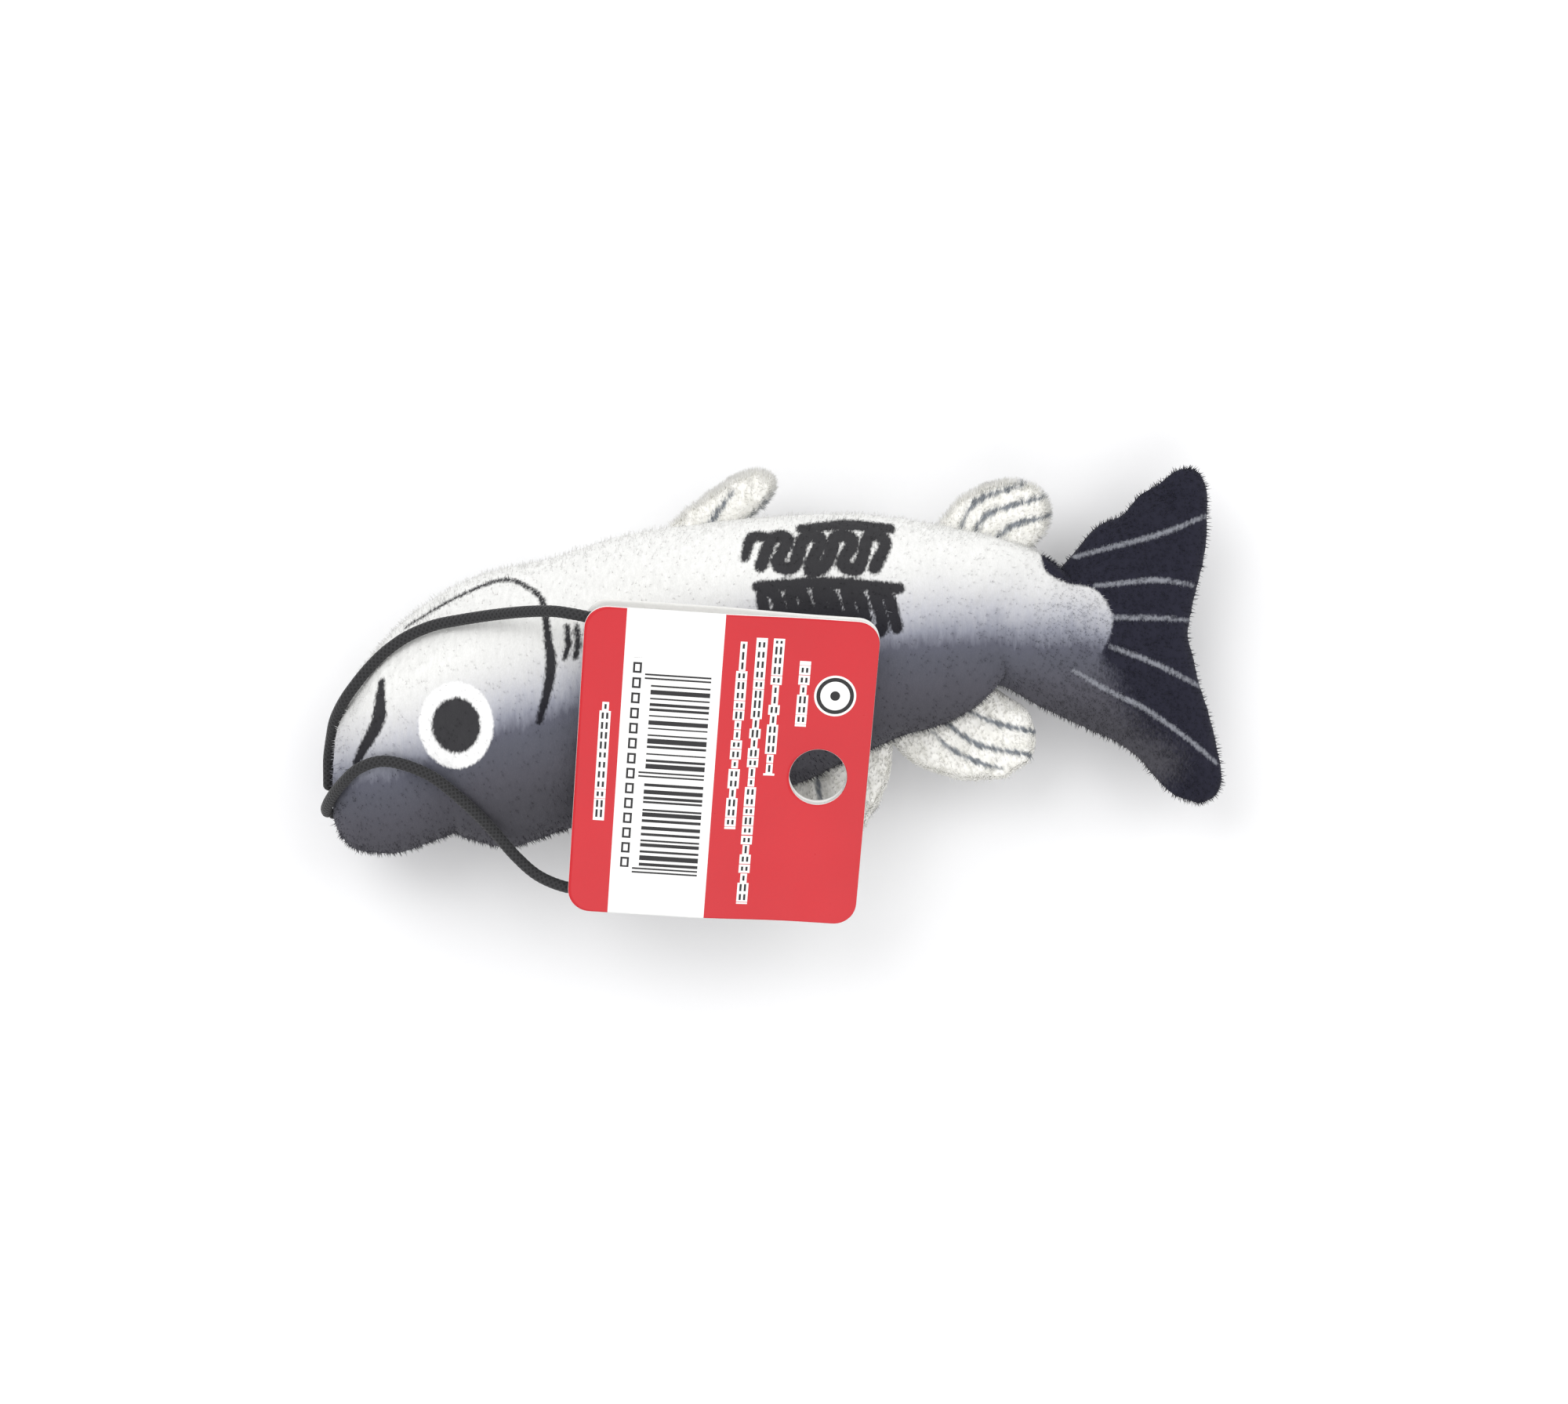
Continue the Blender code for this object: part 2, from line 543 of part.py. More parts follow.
def build_tag():
    """Make the two cards, with the hang hole through both, and the glue between them."""
    frame = tag_frame()
    cutter = hang_hole()
    cutter.matrix_world = frame
    half = CARD_SPACE / 2
    plies = (("tag_front_card", half, "tag_card"), ("tag_back_card", -half - CARD, "back_card"))
    for name, base, finish in plies:
        obj = add_object(name, card_mesh(name, base), finish)
        obj.matrix_world = frame
        hole = obj.modifiers.new("hang_hole", "BOOLEAN")
        hole.operation = "DIFFERENCE"
        hole.solver = "EXACT"
        hole.object = cutter
    thick = CARD_SPACE - 2 * CLEAR
    patch = card_mesh("tag_glue_patch", -thick / 2, thick, GLUE, 1.5 * MM, 3)
    glue = add_object("tag_glue_patch", patch, "glue")
    glue.matrix_world = frame @ Matrix.Translation((*GLUE_CENTRE, 0.0))


def build_loop():
    """Make the elastic loop along its route and the knot that holds it inside the snout."""
    curve = bpy.data.curves.new("elastic_loop", "CURVE")
    curve.dimensions = "3D"
    curve.bevel_depth = CORD / 2
    curve.bevel_resolution = 2
    curve.use_fill_caps = True
    smooth = through(np.array(CORD_ROUTE) * MM, steps=10)
    lengths = np.concatenate([[0.0], np.cumsum(np.linalg.norm(np.diff(smooth, axis=0), axis=1))])
    count = int(lengths[-1] / CORD_STEP) + 1
    even = np.linspace(0.0, lengths[-1], count)
    points = np.stack([np.interp(even, lengths, smooth[:, k]) for k in range(3)], -1)
    spline = curve.splines.new("POLY")
    spline.points.add(count - 1)
    for spot, place in zip(spline.points, points):
        spot.co = (*place, 1.0)
    add_object("elastic_loop", curve, "elastic")
    bm = bmesh.new()
    bmesh.ops.create_uvsphere(bm, u_segments=12, v_segments=8, radius=KNOT / 2)
    knot = add_object("loop_knot", finish_mesh(bm, "loop_knot"), "elastic")
    knot.location = KNOT_PLACE


def main():
    """Build the whole charm."""
    clear_scene()
    build_fish()
    build_fins()
    build_tag()
    build_loop()


main()
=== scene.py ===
"""Looks of a stuffed plush carp charm: printed pile skin, sewn fins, braided elastic loop and card hang tag.

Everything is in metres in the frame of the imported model: +X from snout to tail, +Y from back to belly, +Z up.
"""

from __future__ import annotations

import logging
import math
from dataclasses import dataclass, field
from enum import Enum
from typing import Callable, Sequence, Union

import bpy
import numpy as np
from mathutils import Matrix, Vector


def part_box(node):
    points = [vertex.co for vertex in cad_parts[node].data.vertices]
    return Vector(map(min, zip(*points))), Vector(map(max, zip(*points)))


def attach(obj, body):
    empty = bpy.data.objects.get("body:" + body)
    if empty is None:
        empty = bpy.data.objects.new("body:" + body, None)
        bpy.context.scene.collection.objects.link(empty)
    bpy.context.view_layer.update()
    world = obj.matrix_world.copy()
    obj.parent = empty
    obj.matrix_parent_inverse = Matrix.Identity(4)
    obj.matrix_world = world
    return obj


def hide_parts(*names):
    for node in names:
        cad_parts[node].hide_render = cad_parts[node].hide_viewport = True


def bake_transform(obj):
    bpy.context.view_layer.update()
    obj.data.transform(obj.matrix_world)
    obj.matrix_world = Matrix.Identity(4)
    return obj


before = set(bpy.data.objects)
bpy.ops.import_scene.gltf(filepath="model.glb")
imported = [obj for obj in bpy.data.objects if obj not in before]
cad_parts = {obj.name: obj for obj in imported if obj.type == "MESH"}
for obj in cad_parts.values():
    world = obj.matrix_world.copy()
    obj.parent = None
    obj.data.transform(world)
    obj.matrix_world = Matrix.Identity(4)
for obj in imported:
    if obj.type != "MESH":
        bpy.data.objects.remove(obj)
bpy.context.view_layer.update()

LOG = logging.getLogger("carp_charm")
MM = 0.001
Array = np.ndarray
Point = tuple[float, float]
Colour = tuple[float, float, float, float]


def srgb(code: str) -> Colour:
    """Turn a six-digit colour code into linear light.

    Args:
        code: the colour as six hexadecimal digits.

    Returns:
        The linear red, green, blue and an alpha of 1.
    """
    parts = [int(code[k:k + 2], 16) / 255 for k in (0, 2, 4)]
    linear = [p / 12.92 if p <= 0.04045 else ((p + 0.055) / 1.055) ** 2.4 for p in parts]
    return (*linear, 1.0)


# ---------------------------------------------------------------- shader maths


class Value:
    """A number that varies over a surface; Python's operators add Math nodes to its tree."""

    def __init__(self, shader: "Shader", socket: bpy.types.NodeSocket) -> None:
        """Wrap a node's output socket."""
        self.shader, self.socket = shader, socket

    def math(self, operation: str, *others: "Number") -> "Value":
        """Add a Math node with this value first.

        Args:
            operation: the Math node's operation.
            others: its second and third values.

        Returns:
            The node's result.
        """
        return self.shader.maths(operation, self, *others)

    def __add__(self, other: "Number") -> "Value":
        """Sum."""
        return self.math("ADD", other)

    __radd__ = __add__

    def __sub__(self, other: "Number") -> "Value":
        """Difference."""
        return self.math("SUBTRACT", other)

    def __rsub__(self, other: "Number") -> "Value":
        """Difference from a number."""
        return self.shader.maths("SUBTRACT", other, self)

    def __mul__(self, other: "Number") -> "Value":
        """Product."""
        return self.math("MULTIPLY", other)

    __rmul__ = __mul__

    def __truediv__(self, other: "Number") -> "Value":
        """Quotient."""
        return self.math("DIVIDE", other)

    def __rtruediv__(self, other: "Number") -> "Value":
        """Quotient of a number by this."""
        return self.shader.maths("DIVIDE", other, self)

    def __gt__(self, other: "Number") -> "Value":
        """One where this is greater, else zero."""
        return self.math("GREATER_THAN", other)

    def __lt__(self, other: "Number") -> "Value":
        """One where this is less, else zero."""
        return self.math("LESS_THAN", other)

    def __abs__(self) -> "Value":
        """Size without sign."""
        return self.math("ABSOLUTE")

    def floor(self) -> "Value":
        """Whole number below."""
        return self.math("FLOOR")

    def least(self, other: "Number") -> "Value":
        """The smaller of two."""
        return self.math("MINIMUM", other)

    def most(self, other: "Number") -> "Value":
        """The larger of two."""
        return self.math("MAXIMUM", other)

    def between(self, low: float, high: float) -> "Value":
        """One inside a range, else zero."""
        return (self > low) * (self < high)

    def rise(self, low: float, high: float) -> "Value":
        """Smooth step from 0 at low to 1 at high.

        Args:
            low: where it is 0.
            high: where it is 1.

        Returns:
            The step.
        """
        found = self.shader.node(
            "ShaderNodeMapRange", {"interpolation_type": "SMOOTHSTEP"},
            {"Value": self, "From Min": low, "From Max": high},
        )
        return Value(self.shader, found.outputs["Result"])


Number = Union[Value, float]
Feed = Union[Value, bpy.types.NodeSocket, float, Sequence[float]]


class Shader:
    """One material and the nodes that feed its Principled shader."""

    def __init__(self, name: str) -> None:
        """Start a material that holds a Principled shader and its output.

        Args:
            name: the material's name.
        """
        self.material = bpy.data.materials.new(name)
        self.material.use_nodes = True
        self.tree = self.material.node_tree
        self.tree.nodes.clear()
        self.principled = self.node("ShaderNodeBsdfPrincipled")
        self.node("ShaderNodeOutputMaterial", {}, {"Surface": self.principled.outputs["BSDF"]})

    def node(self, kind: str, settings: dict | None = None,
             feeds: dict[str | int, Feed] | None = None) -> bpy.types.Node:
        """Add a node, set it up, then fill its sockets.

        Args:
            kind: the node's type.
            settings: its properties; "stops" is a ramp's list of places and colours.
            feeds: values or links by socket name or number.

        Returns:
            The new node.
        """
        made = self.tree.nodes.new(kind)
        for key, setting in (settings or {}).items():
            if key == "stops":
                ramp = made.color_ramp
                while len(ramp.elements) < len(setting):
                    ramp.elements.new(0.5)
                for element, (place, colour) in zip(ramp.elements, setting):
                    element.position, element.color = place, colour
            else:
                setattr(made, key, setting)
        for key, feed in (feeds or {}).items():
            self.fill(made.inputs[key], feed)
        return made

    def fill(self, socket: bpy.types.NodeSocket, feed: Feed) -> None:
        """Link or set one socket.

        Args:
            socket: the input socket.
            feed: what it takes.
        """
        if isinstance(feed, Value):
            feed = feed.socket
        if isinstance(feed, bpy.types.NodeSocket):
            self.tree.links.new(feed, socket)
        else:
            socket.default_value = feed

    def maths(self, operation: str, *values: Number) -> Value:
        """Add a Math node.

        Args:
            operation: the node's operation.
            values: its values in order.

        Returns:
            The result.
        """
        made = self.node("ShaderNodeMath", {"operation": operation}, dict(enumerate(values)))
        return Value(self, made.outputs[0])

    def attribute(self, name: str) -> Value:
        """Read a number that the mesh carries."""
        return Value(self, self.node("ShaderNodeAttribute", {"attribute_name": name}).outputs["Fac"])

    def attribute_xyz(self, name: str) -> tuple[Value, Value, Value]:
        """Read a vector that the mesh carries, as its three numbers.

        Args:
            name: the attribute's name.

        Returns:
            Its three numbers.
        """
        vector = self.node("ShaderNodeAttribute", {"attribute_name": name}).outputs["Vector"]
        split = self.node("ShaderNodeSeparateXYZ", {}, {"Vector": vector})
        return tuple(Value(self, split.outputs[k]) for k in range(3))

    def place(self, stretch: Sequence[float] = (1.0, 1.0, 1.0), on: str = "") -> bpy.types.NodeSocket:
        """Give the object coordinates or a vector attribute, multiplied by stretch.

        Args:
            stretch: a factor for each axis.
            on: the vector attribute, or nothing for object coordinates.

        Returns:
            The socket that gives them.
        """
        where = self.node("ShaderNodeTexCoord").outputs["Object"] if not on else (
            self.node("ShaderNodeAttribute", {"attribute_name": on}).outputs["Vector"])
        return self.node("ShaderNodeVectorMath", {"operation": "MULTIPLY"}, {0: where, 1: stretch}).outputs[0]

    def noise(self, size: float, stretch: Sequence[float] = (1, 1, 1), detail: float = 2.0,
              on: str = "") -> Value:
        """Soft noise from 0 to 1.

        Args:
            size: the width of its spots, in metres or in the attribute's own unit.
            stretch: how much finer it is along each axis.
            detail: how many finer layers it has.
            on: the vector attribute that it lies on, or nothing for object coordinates.

        Returns:
            The noise.
        """
        where = self.place([s / size for s in stretch], on)
        made = self.node("ShaderNodeTexNoise", {}, {"Vector": where, "Scale": 1.0, "Detail": detail})
        return Value(self, made.outputs[0])

    def dice(self, value: Value, seed: float) -> Value:
        """A random number from 0 to 1 for each whole value."""
        made = self.node("ShaderNodeTexWhiteNoise", {"noise_dimensions": "1D"}, {"W": value + seed})
        return Value(self, made.outputs["Value"])

    def ramp(self, value: Value, stops: Sequence[tuple[float, Colour]]) -> bpy.types.NodeSocket:
        """Turn a value into a colour by its stops."""
        return self.node("ShaderNodeValToRGB", {"stops": stops}, {"Fac": value}).outputs["Color"]

    def mix(self, share: Number, one: Feed, other: Feed, blend: str = "MIX") -> bpy.types.NodeSocket:
        """Mix two colours.

        Args:
            share: how much of the other colour shows.
            one: the colour at 0.
            other: the colour at 1.
            blend: the Mix node's way of blending.

        Returns:
            The mixed colour.
        """
        settings = {"data_type": "RGBA", "blend_type": blend}
        return self.node("ShaderNodeMix", settings, {0: share, 6: one, 7: other}).outputs[2]

    def lit(self, colour: Feed, factor: Value) -> bpy.types.NodeSocket:
        """Multiply a colour by a number."""
        grey = self.node("ShaderNodeCombineColor", {}, {0: factor, 1: factor, 2: factor}).outputs[0]
        return self.mix(1.0, colour, grey, "MULTIPLY")

    def dress(self, colour: Feed, roughness: Feed, height: Value | None = None, depth: float = 0.0,
              **uniform: Feed) -> bpy.types.Material:
        """Feed the Principled shader.

        Args:
            colour: base colour.
            roughness: roughness.
            height: relief from 0 to 1, if it has any.
            depth: the relief's depth in metres.
            uniform: other sockets that are the same all over, with _ for each space.

        Returns:
            The finished material.
        """
        self.fill(self.principled.inputs["Base Color"], colour)
        self.fill(self.principled.inputs["Roughness"], roughness)
        if height is not None:
            bump = self.node("ShaderNodeBump", {}, {"Strength": 1.0, "Distance": depth, "Height": height})
            self.fill(self.principled.inputs["Normal"], bump.outputs["Normal"])
        for key, value in uniform.items():
            self.fill(self.principled.inputs[key.replace("_", " ")], value)
        return self.material


# ---------------------------------------------------------------- finishes


@dataclass(frozen=True)
class PrintedPile:
    """Short-pile plush printed from off-white at the belly to charcoal at the back, with inked lines."""

    stops: tuple[tuple[float, str], ...] = (
        (-12.0, "EFEFED"), (-9.0, "E6E6E5"), (-6.0, "D6D6D8"), (-3.0, "BDBEC5"), (0.0, "9294A0"),
        (2.4, "61626E"), (4.2, "5C5D67"), (9.0, "56555D"), (14.0, "4E4D53"),
    )
    navy: str = "2B2B37"
    ray: str = "8D8F97"
    ink: str = "18171D"
    white: str = "F7F7F7"
    edge_wander: float = 0.45  # how far the pile frays a printed edge, in mm
    unevenness: Point = (3.4, 2.6)  # how far streaks and clouds shift the shading, in mm

    def make(self) -> bpy.types.Material:
        """Build the material.

        Returns:
            The material.
        """
        sh = Shader("printed_pile")
        low, high = self.stops[0][0], self.stops[-1][0]
        fray = (sh.noise(0.5 * MM, (1.6, 0.7, 1.0), 3.0) - 0.5) * (2 * self.edge_wander)
        streak = sh.noise(0.9 * MM, (1.5, 0.35, 0.8), 4.0) - 0.5
        cloud = sh.noise(7 * MM, (1.0, 1.0, 1.0), 3.0) - 0.5
        streaks, clouds = self.unevenness
        shade = (sh.attribute("shade") + streak * streaks + cloud * clouds - low) / (high - low)
        colour = sh.ramp(shade, [((t - low) / (high - low), srgb(c)) for t, c in self.stops])
        tail = (sh.attribute("tail") + fray * 0.8).rise(-0.3, 0.3)
        colour = sh.mix(tail, colour, srgb(self.navy))
        colour = sh.mix((sh.attribute("ray") + fray).rise(0.28, -0.28), colour, srgb(self.ray))
        colour = sh.mix((sh.attribute("eye") + fray * 0.7).rise(0.22, -0.22), colour, srgb(self.white))
        colour = sh.mix((sh.attribute("ink") + fray).rise(0.3, -0.3) * 0.96, colour, srgb(self.ink))
        fibre = sh.noise(0.28 * MM, (1.5, 0.6, 1.0), 2.0)
        # painted shade: the pile darkens towards the seam, in the crease between the front and rear faces
        seam_shade = sh.attribute("crease").rise(0.05, 0.75) * 0.3 + 0.7
        colour = sh.lit(colour, (0.90 + streak * 0.26 + fibre * 0.16) * seam_shade)
        relief = fibre * 0.6 + sh.noise(0.8 * MM, (1.3, 0.6, 1.0), 3.0)
        return sh.dress(colour, 0.95, relief, 0.09 * MM, Sheen_Weight=0.08, Sheen_Roughness=0.4,
                        Specular_IOR_Level=0.1)


@dataclass(frozen=True)
class FinPile:
    """Longer cream pile with soft blue-grey rays."""

    cream: str = "FBFAF6"
    shadow: str = "EFEEE8"
    ray: str = "666E79"

    def make(self) -> bpy.types.Material:
        """Build the material.

        Returns:
            The material.
        """
        sh = Shader("fin_pile")
        combed = sh.noise(0.55, (0.25, 1.0, 1.0), 3.0, "comb")
        lock = sh.noise(1.6, (0.35, 1.0, 1.0), 2.0, "comb")
        colour = sh.mix((combed * 0.6 + lock * 0.4).rise(0.38, 0.58), srgb(self.shadow), srgb(self.cream))
        near = sh.attribute("ray") + (combed - 0.5) * 1.5
        colour = sh.mix(near.rise(0.4, -0.3) * 0.88, colour, srgb(self.ray))
        fibre = sh.noise(0.24, (0.3, 1.0, 1.0), 2.0, "comb")
        colour = sh.lit(colour, 0.93 + fibre * 0.14)
        return sh.dress(colour, 0.95, combed * 0.6 + fibre * 0.4, 0.06 * MM, Sheen_Weight=0.2,
                        Sheen_Roughness=0.5, Specular_IOR_Level=0.1)


@dataclass(frozen=True)
class BraidedElastic:
    """Black round elastic in a fine braided cover."""

    # light is the black cord with a painted highlight on the strand crowns; dark is painted shade between the
    # strands
    light: str = "2F2F31"
    dark: str = "131315"
    strands: float = 6.0
    pitch: float = 2.4  # mm along the cord for one turn of a strand

    def make(self) -> bpy.types.Material:
        """Build the material; the braid is two sets of helices that cross, lighter on their crowns as painted
        highlight and darker between them as painted shade.

        Returns:
            The material.
        """
        sh = Shader("braided_elastic")
        turn, along, _ = sh.attribute_xyz("lay")
        twist = along * (2 * math.pi * self.strands / 2 / self.pitch)
        left = (turn * self.strands + twist).math("COSINE")
        right = (turn * self.strands - twist).math("COSINE")
        braid = left.most(right) * 0.5 + 0.5
        fluff = sh.noise(0.25 * MM, (1, 1, 1), 3.0)
        # painted highlight and shade: lighter where the strands ride high, darker in the gaps between them
        colour = sh.mix((braid * 0.75 + fluff * 0.3).rise(0.3, 1.0), srgb(self.dark), srgb(self.light))
        return sh.dress(colour, 0.62 + 0.25 * fluff, braid + fluff * 0.4, 0.07 * MM, Sheen_Weight=0.15,
                        Sheen_Roughness=0.4)


@dataclass(frozen=True)
class TagPrint:
    """The face of the hang tag: red card, a white band, a block of bars, plain dashes and a ring. In mm."""

    red: str = "CC202B"
    board: str = "F7F7F6"
    ink: str = "18171A"
    band: Point = (-16.0, -1.2)
    bars: tuple[Point, Point] = ((-11.7, -2.7), (-17.4, 14.25))
    pitch: float = 0.98  # from bar to bar
    drift: float = 0.34  # how far a bar may stand off its place
    bar_half: Point = (0.1, 0.33)  # the least half width, and how much more it may be
    guard_reach: float = 1.0  # how much longer the guard bars are
    guard_inset: float = 0.4  # from the block's ends to its outer pairs of guard bars
    guard_pair: Point = (0.3, 0.14)  # from a pair's middle to each bar, and half a bar's width
    guard_clear: float = 0.75  # half the room that a pair keeps free
    columns: tuple[tuple[float, Point, float], ...] = (
        (7.1, (-0.4, 20.5), 3.0), (4.5, (-21.3, 20.5), 57.0), (1.8, (-9.2, 19.8), 91.0),
        (11.3, (7.6, 17.2), 23.0), (-18.3, (-9.0, 9.1), 77.0))  # middle, reach and seed of the dashes
    dash_pitch: float = 1.55
    dash_half: tuple[float, float, float] = (0.32, 0.3, 0.17)  # half lengths: least and spread; half width
    dash_apart: float = 0.34  # from a column's middle to each line of a double dash
    halo: float = 0.34
    ring: tuple[float, float, float] = (16.2, 12.4, 2.55)
    ring_half: float = 0.3  # half the width of its line
    dot: float = 0.75  # the radius of the dot in it
    boxes: Point = (-13.9, -17.0)  # the row's middle, and where it starts
    box_reach: Point = (-16.6, 16.7)
    box_pitch: float = 2.38
    box_half: tuple[float, float, float] = (0.5, 0.68, 0.16)  # half the height, the width and the line

    def make(self) -> bpy.types.Material:
        """Build the material.

        Returns:
            The material.
        """
        sh = Shader("tag_print")
        u, v, side = sh.attribute_xyz("card")
        face = side > 0.5
        paper = sh.noise(0.6 * MM, (1, 1, 1), 3.0)
        sweep = sh.noise(16 * MM, (1, 1, 1), 1.0)
        red = sh.lit(srgb(self.red), 0.92 + sweep * 0.16)
        colour = sh.mix(face * (1 - u.between(*self.band)), srgb(self.board), red)
        core, halo = self.marks(sh, u, v)
        colour = sh.mix(face * halo, colour, srgb(self.board))
        colour = sh.mix(face * core.most(self.block(sh, u, v)), colour, srgb(self.ink))
        colour = sh.lit(colour, 0.97 + paper * 0.06)
        roughness = 0.2 + paper * 0.12 + sh.noise(5 * MM, (1, 1, 1), 2.0) * 0.12
        return sh.dress(colour, roughness, paper, 0.01 * MM, Coat_Weight=0.12, Coat_Roughness=0.12,
                        Specular_IOR_Level=0.35)

    def block(self, sh: Shader, u: Value, v: Value) -> Value:
        """Bars of random widths between guard bars.

        Args:
            sh: the material's shader.
            u: place along the fish in mm.
            v: place across it in mm.

        Returns:
            One on a bar, else zero.
        """
        (left, right), (low, high) = self.bars
        cell = ((v - low) / self.pitch).floor()
        off = v - low - (cell + 0.5) * self.pitch - (sh.dice(cell, 7.5) - 0.5) * self.drift
        least, more = self.bar_half
        bar = (abs(off) < sh.dice(cell, 41.0) * more + least) * u.between(left, right)
        bar = bar * v.between(low + 1, high - 1)
        apart, half = self.guard_pair
        for middle in (low + self.guard_inset, (low + high) / 2, high - self.guard_inset):
            near = abs(v - middle)
            pair = (abs(near - apart) < half) * u.between(left - self.guard_reach, right)
            bar = (bar * (near > self.guard_clear)).most(pair)
        return bar

    def column(self, sh: Shader, u: Value, v: Value, middle: float, reach: Point, seed: float) -> Value:
        """Distance to a column of short dashes, three in four of them double.

        Args:
            sh: the material's shader.
            u: place along the fish in mm.
            v: place across it in mm.
            middle: the column's middle.
            reach: where it starts and ends.
            seed: makes its dashes differ.

        Returns:
            The distance in mm, negative on a dash.
        """
        least, more, width = self.dash_half
        cell = ((v - reach[0]) / self.dash_pitch).floor()
        inside = abs(v - reach[0] - (cell + 0.5) * self.dash_pitch)
        half = sh.dice(cell, seed) * more + least
        double = sh.dice(cell, seed + 9.5) > 0.25
        rows = abs(abs(u - middle) - self.dash_apart * double) - width
        far = abs(v - (reach[0] + reach[1]) / 2) - (reach[1] - reach[0]) / 2
        return rows.most(inside - half).most(far)

    def marks(self, sh: Shader, u: Value, v: Value) -> tuple[Value, Value]:
        """All dashes, the ring with its dot and the row of empty boxes.

        Args:
            sh: the material's shader.
            u: place along the fish in mm.
            v: place across it in mm.

        Returns:
            One on ink and one on the white halo round it.
        """
        near = None
        for middle, reach, seed in self.columns:
            far = self.column(sh, u, v, middle, reach, seed)
            near = far if near is None else near.least(far)
        x, y, radius = self.ring
        away = ((u - x) * (u - x) + (v - y) * (v - y)).math("SQRT")
        near = near.least(abs(away - radius) - self.ring_half).least(away - self.dot)
        halo = (near < self.halo).most(away < radius)
        middle, start = self.boxes
        tall, wide, line = self.box_half
        cell = ((v - start) / self.box_pitch).floor()
        box = (abs(u - middle) - tall).most(abs(v - start - (cell + 0.5) * self.box_pitch) - wide)
        boxes = (abs(box) < line) * v.between(*self.box_reach)
        return (near < 0.0).most(boxes), halo


@dataclass(frozen=True)
class BackBoard:
    """Uncoated white board of the tag's back ply."""

    board: str = "ECEBE8"

    def make(self) -> bpy.types.Material:
        """Build the material.

        Returns:
            The material.
        """
        sh = Shader("back_board")
        fibre = sh.noise(0.5 * MM, (1, 1, 1), 5.0)
        colour = sh.lit(srgb(self.board), 0.93 + fibre * 0.12)
        return sh.dress(colour, 0.6 + fibre * 0.2, fibre, 0.02 * MM)


@dataclass(frozen=True)
class SpunThread:
    """Polyester sewing thread with its twist, dyed to match the cloth on either side of the dusk line."""

    belly: str = "DEDEE0"
    back: str = "DEDEE0"
    dusk: Point = (-8 * MM, -4 * MM)  # the y between which the dye changes
    lay: float = 0.45 * MM  # from turn to turn of the twist

    def make(self) -> bpy.types.Material:
        """Build the material; the twist is a fine diagonal wave, darker in its grooves as painted shade.

        Returns:
            The material.
        """
        sh = Shader("spun_thread")
        split = sh.node("ShaderNodeSeparateXYZ", {}, {"Vector": sh.place()})
        x, y, z = (Value(sh, split.outputs[k]) for k in range(3))
        twist = ((x + y * 0.7 + z * 1.3) * (2 * math.pi / self.lay)).math("SINE") * 0.5 + 0.5
        colour = sh.mix(y.rise(*self.dusk), srgb(self.back), srgb(self.belly))
        # painted shade: darker in the grooves of the twist
        colour = sh.lit(colour, 0.75 + twist * 0.25)
        return sh.dress(colour, 0.7 + 0.1 * sh.noise(0.3 * MM), twist, 0.05 * MM, Sheen_Weight=0.2)


@dataclass(frozen=True)
class LooseFibre:
    """White polyester filling."""

    colour: str = "F0F0EE"

    def make(self) -> bpy.types.Material:
        """Build the material.

        Returns:
            The material.
        """
        sh = Shader("loose_fibre")
        tangle = sh.noise(1.5 * MM, (1, 1, 1), 8.0)
        colour = sh.lit(srgb(self.colour), 0.7 + tangle * 0.5)
        return sh.dress(colour, 0.9, tangle, 0.8 * MM, Sheen_Weight=0.3)


@dataclass(frozen=True)
class DriedGlue:
    """Dried, faintly yellow glue."""

    colour: str = "DDD6BC"

    def make(self) -> bpy.types.Material:
        """Build the material.

        Returns:
            The material.
        """
        sh = Shader("dried_glue")
        ripple = sh.noise(2.5 * MM, (1, 1, 1), 2.0)
        return sh.dress(sh.lit(srgb(self.colour), 0.9 + ripple * 0.2), 0.3 + ripple * 0.2, ripple, 0.2 * MM)


@dataclass(frozen=True)
class PaleFloor:
    """Seamless pale backdrop paper."""

    colour: str = "FBFBFC"

    def make(self) -> bpy.types.Material:
        """Build the material.

        Returns:
            The material.
        """
        sh = Shader("pale_floor")
        tooth = sh.noise(0.8 * MM, (1, 1, 1), 2.0)
        return sh.dress(sh.lit(srgb(self.colour), 0.995 + tooth * 0.01), 0.9, tooth, 0.004 * MM)


# ---------------------------------------------------------------- shapes


def through(points: Sequence[Sequence[float]], corners: Sequence[float] = (), steps: int = 12) -> Array:
    """Sample a Catmull-Rom spline, kept sharp at the corners' x values.

    Args:
        points: the points it passes through.
        corners: x values of points at which it turns sharply.
        steps: samples for each span.

    Returns:
        The samples, one a row.
    """
    pts = np.asarray(points, float)
    cuts = [0] + [i for i, p in enumerate(pts) if any(abs(p[0] - c) < 1e-9 for c in corners)] + [len(pts) - 1]
    t = np.linspace(0.0, 1.0, steps, endpoint=False)[:, None]
    out = []
    for run in (pts[a:b + 1] for a, b in zip(cuts[:-1], cuts[1:]) if b > a):
        ext = np.vstack([2 * run[0] - run[1], run, 2 * run[-1] - run[-2]])
        for p0, p1, p2, p3 in zip(ext[:-3], ext[1:-2], ext[2:-1], ext[3:]):
            out.append(p1 + 0.5 * t * (p2 - p0) + t**2 * (p0 - 2.5 * p1 + 2 * p2 - 0.5 * p3)
                       + 0.5 * t**3 * (3 * (p1 - p2) + p3 - p0))
    return np.vstack(out + [pts[-1:]])


def crowded(count: int, share: float = 1.0) -> Array:
    """Give shares from 0 to 1 that crowd towards both ends: a cosine, mixed with even steps by share."""
    even = np.linspace(0.0, 1.0, count)
    return share * (0.5 - 0.5 * np.cos(math.pi * even)) + (1 - share) * even


